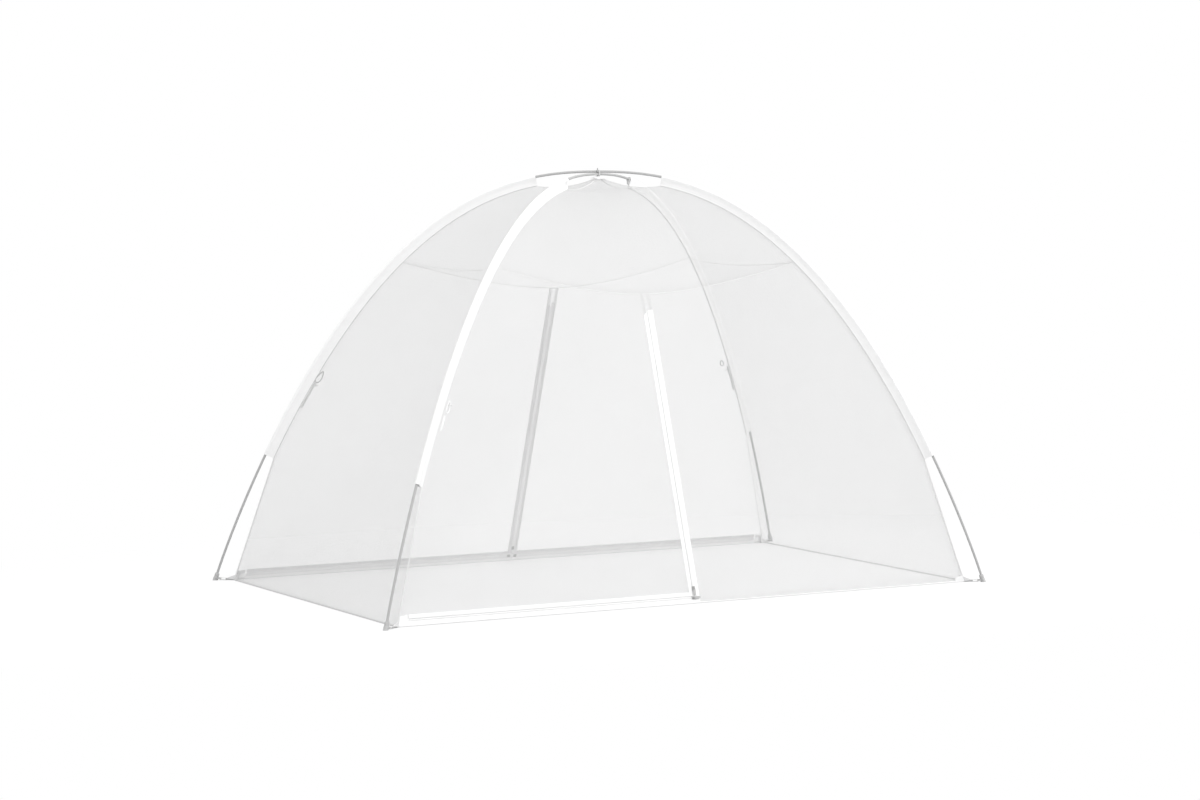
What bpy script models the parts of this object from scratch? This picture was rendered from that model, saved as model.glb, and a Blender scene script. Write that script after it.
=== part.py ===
"""A free-standing mosquito net tent on two crossed, sectioned poles.

X runs along the long side, Y towards the back, Z up. The origin is on the ground,
under the middle of the tent. The four corners are A (left, back), B (left, front),
C (right, front) and D (right, back). One pole runs from A to C and passes over the
one that runs from B to D.
"""

import math

import bmesh
import bpy
from mathutils import Vector

# Driving dimensions, in metres

POLE_SPAN_X = 2.115
POLE_SPAN_Y = 1.253
ARCH_HEIGHT = 1.300
ARCH_SPREAD_POWER = 2.36
ARCH_CROWN_POWER = 1.06

POLE_DIAMETER = 0.0080
POLE_BORE = 0.0052
POLE_FOOT_LIFT = 0.0045
SECTION_COUNT = 7
STEPS_PER_SECTION = 6
FERRULE_LENGTH = 0.040
FERRULE_BORE = 0.0028
SOCKET_SPARE = 0.0020
SHOCK_CORD_DIAMETER = 0.0020

CAP_DIAMETER = 0.0145
CAP_HEIGHT = 0.020
CAP_TOE_DIAMETER = 0.0165
CAP_TOE_HEIGHT = 0.0035
CAP_BODY_START = 0.0070
CAP_ROUND = 0.0015
CAP_CHAMFER = 0.0008
LUG_LIFT = 0.0040
LUG_THICKNESS = 0.0040
LUG_WIDTH = 0.0150
LUG_BAR = 0.0030
LUG_SLOT = 0.0048
LUG_ROOT_GAP = 0.0008
LUG_ROOT_DEPTH = 0.0035

STRAP_WIDTH = 0.0100
STRAP_THICKNESS = 0.0008
STRAP_SEWN = 0.006

NET_CORNER_GAP = 0.0600
NET_THICKNESS = 0.0020
FLOOR_THICKNESS = 0.0020
FLOOR_HEM = 0.0030
FLOOR_CORNER_CUT = 0.0053

SLEEVE_START = 0.405
SLEEVE_MOUTH = 0.200
SLEEVE_DEPTH = 0.030
SLEEVE_BORE = 0.0106
SLEEVE_WALL = 0.0013
SLEEVE_FIN = 0.0020

PEAK_DROP = 0.0085
PEAK_RADIUS = 0.012
PEAK_SAG = 0.014
ROOF_DEPTH = 0.280
RING_DROOP_FRONT = 0.090
RING_DROOP_SIDE = 0.015
LONG_WALL_LEAN = 0.328
SIDE_WALL_BOW = 0.035
BOW_POWER = 1.6
FREE_EDGE_SHARES = (0.0, 0.33, 0.67)
BARE_NET_SHARES = (0.30, 0.60, 0.82)
WALL_COLUMNS = 4
SIDE_COLUMNS = 6

ZIP_TOP_DROP = 0.050
FOLD_START = 0.004
ZIP_LINE = 0.018
TAPE_REACH = 0.017
TAPE_THICKNESS = 0.0010
CHAIN_WIDTH = 0.0052
CHAIN_THICKNESS = 0.0022
CHAIN_SEAM = 0.0006
CHAIN_SET = 0.0002
CHAIN_EDGE = 0.0006
ZIP_END = 0.035
TAPE_TIP_GAP = 0.006
TAPE_TOP_GAP = 0.002
DOOR_CHAIN_DROP = 0.020

SLIDER_LENGTH = 0.012
SLIDER_WALL = 0.0015
SLIDER_PLATE = 0.0011
SLIDER_SIDE_FIT = 0.0004
SLIDER_NOSE = 0.0030
SLIDER_WAIST_SHARE = 0.92
BAIL_LENGTH = 0.0056
BAIL_WIDTH = 0.0018
BAIL_BAR = 0.0012
BAIL_GAP = 0.0022
BAIL_ROOT = 0.0005
BAIL_EDGE = 0.0008
PULL_LENGTH = 0.024
PULL_WIDTH = 0.0080
PULL_THICKNESS = 0.0012
PULL_BAR = 0.0014
PULL_EDGE = 0.0010
PULL_NOSE = 0.0020
UP_SLIDER_PLACE = 0.047
SIDE_SLIDER_PLACE = 0.006
BACK_SLIDER_PLACE = 0.012

PATCH_RADIUS = 0.026
PATCH_THICKNESS = 0.0010
PATCH_FOLLOW = 0.65
APEX_TIE_WIDTH = 0.0060
APEX_TIE_THICKNESS = 0.0012
APEX_TIE_BEND = 0.0030

TIE_HEIGHT = 0.640
TIE_LENGTH = 0.085
TIE_WIDTH = 0.0080
TIE_THICKNESS = 0.0010
TIE_INSET = 0.012
TOGGLE_LENGTH = 0.022
TOGGLE_DIAMETER = 0.0050
TOGGLE_DROP = 0.012

CLIP_WIDTH = 0.0060
CLIP_WALL = 0.0015
CLIP_DROP = 0.012
CLIP_AWAY = 0.0020
CLIP_TONGUE = 0.0024
CLIP_STEP_ANGLE = 22.5

# Named clearances between neighbours

FIT = 0.0003
CROSSING_GAP = 0.0003
WALL_SEAM_GAP = 0.0020
ROOF_SEAM_GAP = 0.0014
RING_GAP = 0.0010
FOLD_GAP = 0.0004
NET_FLOOR_GAP = 0.0030
TAPE_FLOOR_GAP = 0.0022
FLAP_TAPE_GAP = 0.0005
NET_SLIDER_GAP = 0.0020
SLEEVE_REST = 0.0006

# Sizes that follow from the ones above

FOOT_REACH = math.hypot(POLE_SPAN_X, POLE_SPAN_Y) / 2
PEAK_HEIGHT = ARCH_HEIGHT - PEAK_DROP
RING_HEIGHT = ARCH_HEIGHT - ROOF_DEPTH
RING_LOW = RING_HEIGHT - RING_DROOP_FRONT
ZIP_TOP = RING_LOW - ZIP_TOP_DROP
NET_CORNER_REACH = FOOT_REACH - NET_CORNER_GAP
DIAGONAL = (POLE_SPAN_X / 2 / FOOT_REACH, POLE_SPAN_Y / 2 / FOOT_REACH)
HALF_X = NET_CORNER_REACH * DIAGONAL[0]
HALF_Y = NET_CORNER_REACH * DIAGONAL[1]
FLOOR_CORNER_REACH = NET_CORNER_REACH + FLOOR_HEM * sum(DIAGONAL) - FLOOR_CORNER_CUT
CORNERS = {"a": (-1, 1), "b": (-1, -1), "c": (1, -1), "d": (1, 1)}
LIFT_OVER = POLE_DIAMETER + CROSSING_GAP
POLE_TOP = {"ac": ARCH_HEIGHT + LIFT_OVER, "bd": ARCH_HEIGHT}
CORNER_POLE = {"a": "ac", "c": "ac", "b": "bd", "d": "bd"}
LEAN_ANGLE = math.atan(LONG_WALL_LEAN)
TAPE_OUT = NET_THICKNESS / 2 + FIT
CHAIN_HALF = CHAIN_WIDTH / 2
CHAIN_TOP = TAPE_OUT + CHAIN_THICKNESS
SLIDER_HALF = CHAIN_HALF + SLIDER_SIDE_FIT + SLIDER_WALL
FLAP_TAPE_START = SLIDER_HALF + FLAP_TAPE_GAP
FLAT_STRIP = TAPE_REACH - CHAIN_HALF
NET_ZIP_INSET = SLIDER_HALF + NET_SLIDER_GAP
SLIDER_TOP = CHAIN_TOP + FIT + SLIDER_PLATE
PULL_AXIS = SLIDER_TOP + BAIL_GAP / 2
SIDES = 8


# Materials

def material(name, colour, roughness, metallic=0.0):
    mat = bpy.data.materials.new(name)
    mat.use_nodes = True
    shader = mat.node_tree.nodes["Principled BSDF"]
    shader.inputs["Base Color"].default_value = (*colour, 1.0)
    shader.inputs["Roughness"].default_value = roughness
    shader.inputs["Metallic"].default_value = metallic
    return mat


def make_materials():
    return {
        "net": material("net_mesh", (0.90, 0.90, 0.90), 0.9),
        "cloth": material("white_cloth", (0.93, 0.93, 0.93), 0.8),
        "floor": material("floor_cloth", (0.90, 0.90, 0.90), 0.7),
        "pole": material("glass_fibre", (0.33, 0.33, 0.33), 0.4),
        "plastic": material("grey_plastic", (0.25, 0.25, 0.26), 0.5),
        "coil": material("zip_coil", (0.85, 0.85, 0.85), 0.5),
        "slider": material("zip_metal", (0.22, 0.22, 0.23), 0.35, 0.8),
        "elastic": material("elastic", (0.45, 0.45, 0.46), 0.8),
    }


# Mesh helpers

def add_object(name, bm, mat, smooth=False):
    bmesh.ops.remove_doubles(bm, verts=bm.verts, dist=0.000001)
    bmesh.ops.recalc_face_normals(bm, faces=bm.faces)
    mesh = bpy.data.meshes.new(name)
    bm.to_mesh(mesh)
    bm.free()
    mesh.materials.append(mat)
    if smooth:
        mesh.shade_smooth()
        mesh.set_sharp_from_angle(angle=math.radians(50))
    obj = bpy.data.objects.new(name, mesh)
    bpy.context.scene.collection.objects.link(obj)
    return obj


def skin_rings(rings, closed=False):
    """Joins rings of as many points each; the ends are capped, or meet each other."""
    bm = bmesh.new()
    loops = [[bm.verts.new(point) for point in ring] for ring in rings]
    pairs = list(zip(loops, loops[1:]))
    if closed:
        pairs.append((loops[-1], loops[0]))
    for low, high in pairs:
        count = len(low)
        for i in range(count):
            j = (i + 1) % count
            bm.faces.new((low[i], low[j], high[j], high[i]))
    if not closed:
        bm.faces.new(loops[0])
        bm.faces.new(loops[-1])
    return bm


def prism(outline, place, low, high):
    """Extrudes an outline of (u, v) points between two heights of a placing function."""
    rings = [[place(u, v, n) for u, v in outline] for n in (low, high)]
    return skin_rings(rings)


def cloth_from_grid(name, rows, mat):
    """A grid of points on a cloth's middle surface, made into one thin solid."""
    bm = bmesh.new()
    grid = [[bm.verts.new(point) for point in row] for row in rows]
    for low, high in zip(grid, grid[1:]):
        for i in range(len(low) - 1):
            bm.faces.new((low[i], low[i + 1], high[i + 1], high[i]))
    obj = add_object(name, bm, mat, smooth=True)
    thick = obj.modifiers.new("cloth", "SOLIDIFY")
    thick.thickness = NET_THICKNESS
    thick.offset = 0.0
    thick.use_rim = True
    return obj


def inset_grid(rows, left, right, bottom, top):
    """Draws the four edges of a grid in, so that neighbours keep their gap."""
    def drawn(edge, inner, gap):
        return edge + (inner - edge).normalized() * gap
    for row in rows:
        row[0] = drawn(row[0], row[1], left)
        row[-1] = drawn(row[-1], row[-2], right)
    rows[0] = [drawn(a, b, bottom) for a, b in zip(rows[0], rows[1])]
    rows[-1] = [drawn(a, b, top) for a, b in zip(rows[-1], rows[-2])]
    return rows


def cut_with(obj, tool, operation):
    """Adds a Boolean with a hidden tool object."""
    tool.hide_render = True
    tool.display_type = "WIRE"
    cut = obj.modifiers.new(operation.lower(), "BOOLEAN")
    cut.operation = operation
    cut.object = tool
    cut.solver = "EXACT"


# The arch of a pole, in its own upright plane: q along the diagonal and z up

def arch_height_at(q, top):
    share = min(abs(q) / FOOT_REACH, 1.0) ** ARCH_SPREAD_POWER
    return POLE_FOOT_LIFT + (top - POLE_FOOT_LIFT) * (1 - share) ** (1 / ARCH_CROWN_POWER)


def arch_stations(top):
    """Points at equal distances along the arch, foot to foot."""
    fine = 4000
    trace = []
    for i in range(fine + 1):
        q = -FOOT_REACH + 2 * FOOT_REACH * i / fine
        trace.append(Vector((q, arch_height_at(q, top))))
    run = [0.0]
    for a, b in zip(trace, trace[1:]):
        run.append(run[-1] + (b - a).length)
    steps = SECTION_COUNT * STEPS_PER_SECTION
    stations = []
    k = 0
    for i in range(steps + 1):
        goal = run[-1] * i / steps
        while k < fine - 1 and run[k + 1] < goal:
            k += 1
        share = (goal - run[k]) / (run[k + 1] - run[k])
        stations.append(trace[k].lerp(trace[k + 1], share))
    return stations


STATIONS = {pole: arch_stations(top) for pole, top in POLE_TOP.items()}
LAST_STATION = SECTION_COUNT * STEPS_PER_SECTION


def arch_frame(pole, t):
    """The point at station number t, with the direction along the pole and outwards."""
    stations = STATIONS[pole]
    k = min(int(t + 1e-9), LAST_STATION - 1)
    share = t - k
    point = stations[k].lerp(stations[k + 1], share)
    along = (stations[k + 1] - stations[k]).normalized()
    if share < 1e-6 and k > 0:
        along = (along + (stations[k] - stations[k - 1]).normalized()).normalized()
    outward = Vector((-along.y, along.x))
    return point, along, outward


def step_length(pole):
    stations = STATIONS[pole]
    return (stations[1] - stations[0]).length


def to_world(pole, flat, side=0.0):
    """Places a point of the arch's plane, or one that lies beside it."""
    dx, dy = DIAGONAL
    if pole == "ac":
        dy = -dy
    return Vector((flat[0] * dx - side * dy, flat[0] * dy + side * dx, flat[1]))


def round_ring(pole, t, radius, shift=0.0, sides=SIDES):
    """A ring of points round the pole's centre line, square to it."""
    point, along, outward = arch_frame(pole, t)
    point = point + along * shift
    ring = []
    for i in range(sides):
        angle = 2 * math.pi * i / sides
        flat = point + outward * (radius * math.cos(angle))
        ring.append(to_world(pole, flat, radius * math.sin(angle)))
    return ring


# Poles: sections with their ferrules, and the shock cord inside

def pole_section(pole, number, mat):
    """One tube; its ferrule reaches into the next tube's bore."""
    step = step_length(pole)
    start = number * STEPS_PER_SECTION
    end = start + STEPS_PER_SECTION
    middle = list(range(start + 1, end))
    start_gap = FIT / 2 if number > 0 else 0.0
    end_gap = -FIT / 2 if number < SECTION_COUNT - 1 else 0.0
    outer = POLE_DIAMETER / 2
    inner = FERRULE_BORE / 2
    rings = [round_ring(pole, start, outer, start_gap)]
    rings += [round_ring(pole, t, outer) for t in middle]
    rings.append(round_ring(pole, end, outer, end_gap))
    if number < SECTION_COUNT - 1:
        tip = end + FERRULE_LENGTH / step
        ferrule = POLE_BORE / 2 - FIT
        rings.append(round_ring(pole, end, ferrule, end_gap))
        rings.append(round_ring(pole, tip, ferrule))
        rings.append(round_ring(pole, tip, inner))
        rings.append(round_ring(pole, end, inner))
    else:
        rings.append(round_ring(pole, end, inner))
    socket = start + (FERRULE_LENGTH + SOCKET_SPARE) / step if number > 0 else start
    rings += [round_ring(pole, t, inner) for t in reversed(middle) if t > socket]
    if number > 0:
        rings.append(round_ring(pole, socket, inner))
        rings.append(round_ring(pole, socket, POLE_BORE / 2))
        rings.append(round_ring(pole, start, POLE_BORE / 2, start_gap))
    else:
        rings.append(round_ring(pole, start, inner))
    bm = skin_rings(rings, closed=True)
    return add_object(f"pole_{pole}_section_{number + 1}", bm, mat, smooth=True)


def shock_cord(pole, mat):
    """The elastic cord that runs through all sections, knotted at neither end here."""
    rings = []
    for i in range(LAST_STATION + 1):
        t = min(max(i, 0.02), LAST_STATION - 0.02)
        rings.append(round_ring(pole, t, SHOCK_CORD_DIAMETER / 2, sides=5))
    return add_object(f"shock_cord_{pole}", skin_rings(rings), mat, smooth=True)


# Feet: a cap with a lug on each pole end, and a strap from it to the net

def corner_pole(corner):
    return CORNER_POLE[corner]


def corner_sign(corner):
    """Which end of its pole a corner is: -1 at the first station, 1 at the last."""
    return -1 if corner in ("a", "b") else 1


def out_to_world(corner, reach, height, side=0.0):
    """Places a point by its reach along the corner's own diagonal."""
    sx, sy = CORNERS[corner]
    dx, dy = DIAGONAL[0] * sx, DIAGONAL[1] * sy
    return Vector((reach * dx - side * dy, reach * dy + side * dx, height))


def foot_frame(corner):
    """The pole's end and its direction upwards, as (reach, height) pairs."""
    stations = STATIONS[corner_pole(corner)]
    end, inner = stations[0], stations[1]
    lean = Vector((-abs(end.x) + abs(inner.x), inner.y - end.y)).normalized()
    return Vector((FOOT_REACH, POLE_FOOT_LIFT)), lean


def foot_cap(corner, mat):
    """A cup turned round the leaning pole end, cut flat where it stands."""
    end, lean = foot_frame(corner)
    across = Vector((lean.y, -lean.x))
    bore = POLE_DIAMETER / 2 + FIT
    top = CAP_HEIGHT
    toe = CAP_TOE_DIAMETER / 2
    body = CAP_DIAMETER / 2
    below_ground = -CAP_TOE_DIAMETER
    profile = [(below_ground, toe), (CAP_TOE_HEIGHT, toe), (CAP_BODY_START, body),
               (top - CAP_ROUND, body), (top, body - CAP_ROUND),
               (top, bore + CAP_CHAMFER), (top - CAP_CHAMFER, bore), (-FIT, bore)]
    rings = []
    for height, radius in profile:
        ring = []
        for i in range(12):
            angle = 2 * math.pi * (i + 0.5) / 12
            flat = end + lean * height + across * (radius * math.cos(angle))
            ring.append(out_to_world(corner, flat.x, flat.y, radius * math.sin(angle)))
        rings.append(ring)
    bm = skin_rings(rings)
    everything = bm.verts[:] + bm.edges[:] + bm.faces[:]
    cut = bmesh.ops.bisect_plane(bm, geom=everything, plane_co=(0, 0, 0),
                                 plane_no=(0, 0, -1), clear_outer=True)
    rim = [e for e in cut["geom_cut"] if isinstance(e, bmesh.types.BMEdge)]
    bmesh.ops.holes_fill(bm, edges=rim, sides=0)
    obj = add_object(f"foot_cap_{corner}", bm, mat, smooth=True)
    cut_with(obj, lug_frame(corner, mat), "UNION")
    return obj


def lug_bar_reach(corner):
    """How far out the middle of the lug's bar lies."""
    height = LUG_LIFT + LUG_THICKNESS / 2
    end, lean = foot_frame(corner)
    axis = end.x + lean.x / lean.y * (height - end.y)
    wall = axis - CAP_TOE_DIAMETER / 2 - LUG_ROOT_GAP
    return wall - LUG_SLOT - LUG_BAR / 2


def lug_frame(corner, mat):
    """The lug's outline with its slot, to be joined to the cap."""
    bar = lug_bar_reach(corner)
    inner_end = bar - LUG_BAR / 2
    slot_in = bar + LUG_BAR / 2
    slot_out = slot_in + LUG_SLOT
    root = slot_out + LUG_ROOT_DEPTH
    half = LUG_WIDTH / 2
    slot_half = STRAP_WIDTH / 2 + 2 * FIT
    outer = [(inner_end, -half), (root, -half), (root, half), (inner_end, half)]
    inner = [(slot_in, -slot_half), (slot_out, -slot_half), (slot_out, slot_half),
             (slot_in, slot_half)]
    low = LUG_LIFT
    high = LUG_LIFT + LUG_THICKNESS
    rings = []
    for loop, height in ((outer, low), (outer, high), (inner, high), (inner, low)):
        rings.append([out_to_world(corner, reach, height, side) for reach, side in loop])
    bm = skin_rings(rings, closed=True)
    return add_object(f"lug_tool_{corner}", bm, mat)


def foot_strap(corner, mat):
    """A webbing loop round the lug's bar, whose ends are sewn at the floor's corner."""
    bar = lug_bar_reach(corner)
    height = LUG_LIFT + LUG_THICKNESS / 2
    end = FLOOR_CORNER_REACH
    inner_turn = math.hypot(LUG_BAR / 2, LUG_THICKNESS / 2) + FIT
    outer_turn = inner_turn + STRAP_THICKNESS

    def loop(turn, tail, low, high):
        points = [(end + tail, low)]
        for i in range(7):
            angle = math.radians(-90 + 30 * i)
            points.append((bar + turn * math.cos(angle), height + turn * math.sin(angle)))
        points.append((end + tail, high))
        return points

    sewn = STRAP_THICKNESS
    outside = loop(outer_turn, -STRAP_SEWN, FIT, FIT + 2 * sewn)
    inside = loop(inner_turn, STRAP_SEWN, 0.9 * FLOOR_THICKNESS, FLOOR_THICKNESS)
    half = STRAP_WIDTH / 2
    rings = []
    for points, side in ((outside, -half), (outside, half), (inside, half), (inside, -half)):
        rings.append([out_to_world(corner, reach, up, side) for reach, up in points])
    return add_object(f"corner_strap_tool_{corner}", skin_rings(rings, closed=True), mat)


# The seam that runs from each floor corner up to the peak

def station_for_height(pole, height):
    """The station number, counted from the foot, at which the arch has this height."""
    stations = STATIONS[pole]
    for k in range(LAST_STATION // 2):
        if stations[k + 1].y >= height:
            return k + (height - stations[k].y) / (stations[k + 1].y - stations[k].y)
    return LAST_STATION / 2


def station_for_reach(pole, reach):
    """The station number, counted from the foot, at which the arch is this far out."""
    stations = STATIONS[pole]
    for k in range(LAST_STATION // 2):
        if abs(stations[k + 1].x) <= reach:
            near = abs(stations[k].x)
            return k + (near - reach) / (near - abs(stations[k + 1].x))
    return LAST_STATION / 2


def sleeve_stations(pole):
    """Station numbers, counted from the foot, at which a sleeve has a ring."""
    start = station_for_height(pole, SLEEVE_START)
    end = station_for_reach(pole, SLEEVE_MOUTH)
    whole = range(int(start) + 1, int(math.ceil(end)))
    return [start] + list(whole) + [end]


def seam_at(pole, t):
    """The sleeve's inner edge, where the nets are sewn on, as (reach, height)."""
    point, _, outward = arch_frame(pole, t)
    edge = point - outward * SLEEVE_DEPTH
    return Vector((abs(edge.x), edge.y))


def ring_station(pole):
    """The station at which the roof seam meets the sleeve's inner edge."""
    low, high = 0.0, LAST_STATION / 2
    for _ in range(50):
        mid = (low + high) / 2
        if seam_at(pole, mid).y < RING_HEIGHT:
            low = mid
        else:
            high = mid
    return low


def wall_seam(corner):
    """The wall's share of the seam: floor corner, free edge, sleeve, roof seam."""
    pole = corner_pole(corner)
    top = ring_station(pole)
    numbers = [t for t in sleeve_stations(pole) if t < top - 0.3] + [top]
    sewn = [seam_at(pole, t) for t in numbers]
    foot = Vector((NET_CORNER_REACH, 0.0))
    free = [foot.lerp(sewn[0], share) for share in FREE_EDGE_SHARES]
    return [out_to_world(corner, p.x, p.y) for p in free + sewn]


def roof_seam(corner):
    """The roof's share of the seam: roof seam, sleeve, then bare net to the peak."""
    pole = corner_pole(corner)
    top = ring_station(pole)
    numbers = [top] + [t for t in sleeve_stations(pole) if t > top + 0.3]
    sewn = [seam_at(pole, t) for t in numbers]
    mouth = sewn[-1]
    peak = Vector((0.0, PEAK_HEIGHT))
    bare = []
    for share in (*BARE_NET_SHARES, 1 - PEAK_RADIUS / mouth.x):
        point = mouth.lerp(peak, share)
        point.y -= PEAK_SAG * share * (1 - share) * 4
        bare.append(point)
    return [out_to_world(corner, p.x, p.y) for p in sewn + bare]


WALL_SEAMS = {corner: wall_seam(corner) for corner in CORNERS}
ROOF_SEAMS = {corner: roof_seam(corner) for corner in CORNERS}


# Sleeves: a pocket round the pole, with a fin to which the nets are sewn

def sleeve(corner, mat):
    pole = corner_pole(corner)
    bore = SLEEVE_BORE / 2
    outer = bore + SLEEVE_WALL
    fin = SLEEVE_FIN / 2
    arc = [-100, -60, -20, 20, 60, 100]
    outline = [(outer * math.cos(math.radians(a)) - SLEEVE_REST,
                outer * math.sin(math.radians(a))) for a in arc]
    outline += [(-SLEEVE_DEPTH, fin), (-SLEEVE_DEPTH, -fin)]
    hole = [(bore * math.cos(math.radians(a)) - SLEEVE_REST,
             bore * math.sin(math.radians(a))) for a in arc + [150, 210]]
    numbers = sleeve_stations(pole)
    if corner_sign(corner) > 0:
        numbers = [LAST_STATION - t for t in numbers]

    def ring(t, section):
        point, _, outward = arch_frame(pole, t)
        return [to_world(pole, point + outward * out, side) for out, side in section]

    rings = [ring(t, outline) for t in numbers]
    rings += [ring(t, hole) for t in reversed(numbers)]
    return add_object(f"pole_sleeve_{corner}", skin_rings(rings, closed=True), mat)


# Long walls: each leans in a plane, from which its sides bow out to the seams

def plane_place(face):
    """Places (u, v, n) of the front or back zip plane: across, up and outwards."""
    turn = -1 if face == "back" else 1
    sin, cos = math.sin(LEAN_ANGLE), math.cos(LEAN_ANGLE)

    def place(u, v, n):
        y = -HALF_Y + v * sin - n * cos
        return Vector((turn * u, turn * y, v * cos + n * sin))
    return place


def fold_u(z):
    """How far from the middle a door's fold line is at a height."""
    return HALF_X * (1 - z / ZIP_TOP)


def wall_row_heights(seam):
    """The heights at the wall's middle that go with the seam's points."""
    ratio = RING_LOW / RING_HEIGHT
    return [point.z * ratio for point in seam]


def wall_point(seam_point, x_in, z_in, share):
    """A point between the plane part of a long wall and its seam."""
    curve = share ** BOW_POWER
    x = x_in + (seam_point.x - x_in) * share
    z = z_in + (seam_point.z - z_in) * curve
    plane = HALF_Y - LONG_WALL_LEAN * z
    extra = abs(seam_point.y) - (HALF_Y - LONG_WALL_LEAN * seam_point.z)
    y = plane + extra * curve
    return Vector((x, math.copysign(y, seam_point.y), z))


def long_wall(name, corner, has_flap, mat):
    """The fixed net between one corner's seam and the fold line or the zip."""
    seam = WALL_SEAMS[corner]
    side = CORNERS[corner][0]
    rows = []
    for point, z_in in zip(seam, wall_row_heights(seam)):
        edge = NET_ZIP_INSET
        if has_flap:
            z_in = max(z_in, FOLD_START)
            edge = max(edge, fold_u(z_in))
        bend = min(edge + FLAT_STRIP, (edge + abs(point.x)) / 2)
        row = [wall_point(point, side * edge, z_in, 0.0)]
        row += [wall_point(point, side * bend, z_in, i / WALL_COLUMNS)
                for i in range(WALL_COLUMNS + 1)]
        rows.append(row)
    fold = FOLD_GAP if has_flap else 0.0
    rows = inset_grid(rows, fold, WALL_SEAM_GAP, NET_FLOOR_GAP, RING_GAP)
    return cloth_from_grid(name, rows, mat)


def side_wall(name, corners, mat):
    """A short wall, bowed in between its two seams."""
    rows = []
    for a, b in zip(WALL_SEAMS[corners[0]], WALL_SEAMS[corners[1]]):
        row = []
        for i in range(SIDE_COLUMNS + 1):
            row.append(side_wall_point(a, b, i / SIDE_COLUMNS))
        rows.append(row)
    rows = inset_grid(rows, WALL_SEAM_GAP, WALL_SEAM_GAP, NET_FLOOR_GAP, RING_GAP)
    return cloth_from_grid(name, rows, mat)


def side_wall_point(a, b, share):
    arc = 1 - abs(2 * share - 1) ** 2
    height = (a.z + b.z) / 2
    rise = min(height / (RING_HEIGHT / 2), 1.0)
    point = a.lerp(b, share)
    point.x -= math.copysign(SIDE_WALL_BOW * rise * arc, a.x)
    point.z -= RING_DROOP_SIDE * arc * height / RING_HEIGHT
    return point


# Roof: four gores from the roof seam to the peak

def long_ring_row(corners):
    """The roof seam of a long side, from one corner to the other."""
    row = []
    for corner in corners:
        sign = CORNERS[corner][0]
        end = ROOF_SEAMS[corner][0]
        bend = sign * (NET_ZIP_INSET + FLAT_STRIP)
        half = [wall_point(end, bend, RING_LOW, i / WALL_COLUMNS)
                for i in range(WALL_COLUMNS + 1)]
        row += half if row else list(reversed(half))
    return row


def roof_gore(name, corners, mat):
    """A net panel between two sleeves, from the roof seam up to the peak."""
    a_seam, b_seam = ROOF_SEAMS[corners[0]], ROOF_SEAMS[corners[1]]
    a, b = a_seam[0], b_seam[0]
    if CORNERS[corners[0]][0] != CORNERS[corners[1]][0]:
        gap = ROOF_SEAM_GAP / DIAGONAL[1]
        base = long_ring_row(corners)
        shares = [(point.x - a.x) / (b.x - a.x) for point in base]
    else:
        gap = ROOF_SEAM_GAP / DIAGONAL[0]
        shares = [i / SIDE_COLUMNS for i in range(SIDE_COLUMNS + 1)]
        base = [side_wall_point(a, b, share) for share in shares]
    droop = [point - a.lerp(b, share) for share, point in zip(shares, base)]
    reach = math.hypot(a.x, a.y)
    rows = []
    for a, b in zip(a_seam, b_seam):
        scale = (math.hypot(a.x, a.y) / reach) ** 1.5
        rows.append([a.lerp(b, share) + drop * scale for share, drop in zip(shares, droop)])
    rows = inset_grid(rows, gap, gap, RING_GAP, 0.0)
    return cloth_from_grid(name, rows, mat)


# Doors: flat net flaps that fold along the line from a corner to the zip's top

def door_flap(name, face, side, mat):
    """A flap; side is -1 for the one at the plane's left, seen from outside."""
    place = plane_place(face)
    cos = math.cos(LEAN_ANGLE)
    slope = math.hypot(HALF_X, ZIP_TOP / cos)
    gap_u = FOLD_GAP * slope / (ZIP_TOP / cos)
    low = ZIP_LINE + NET_ZIP_INSET
    near = NET_ZIP_INSET
    far = fold_u(low * cos) - gap_u
    high = (1 - (near + gap_u) / HALF_X) * ZIP_TOP / cos
    outline = [(side * far, low), (side * near, low), (side * near, high)]
    half = NET_THICKNESS / 2
    return add_object(name, prism(outline, place, -half, half), mat)


# Zips: tape halves, chains, sliders and pulls

def tape(name, face, outline, mat):
    low = TAPE_OUT
    bm = prism(outline, plane_place(face), low, low + TAPE_THICKNESS)
    return add_object(name, bm, mat)


def weave_in(tape_obj, chain):
    """Joins a closed chain to the tape half that carries it."""
    cut_with(tape_obj, chain, "UNION")


def flap_tape(name, face, side, mat):
    """The L of tape along a flap's bottom and free edge."""
    cos = math.cos(LEAN_ANGLE)
    near, reach = FLAP_TAPE_START, TAPE_REACH
    low, high = ZIP_LINE + FLAP_TAPE_START, ZIP_LINE + TAPE_REACH
    far = fold_u(high * cos) - TAPE_TIP_GAP
    top = flap_tape_top()
    outline = [(side * far, low), (side * near, low), (side * near, top),
               (side * reach, top), (side * reach, high), (side * far, high)]
    return tape(name, face, outline, mat)


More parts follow.
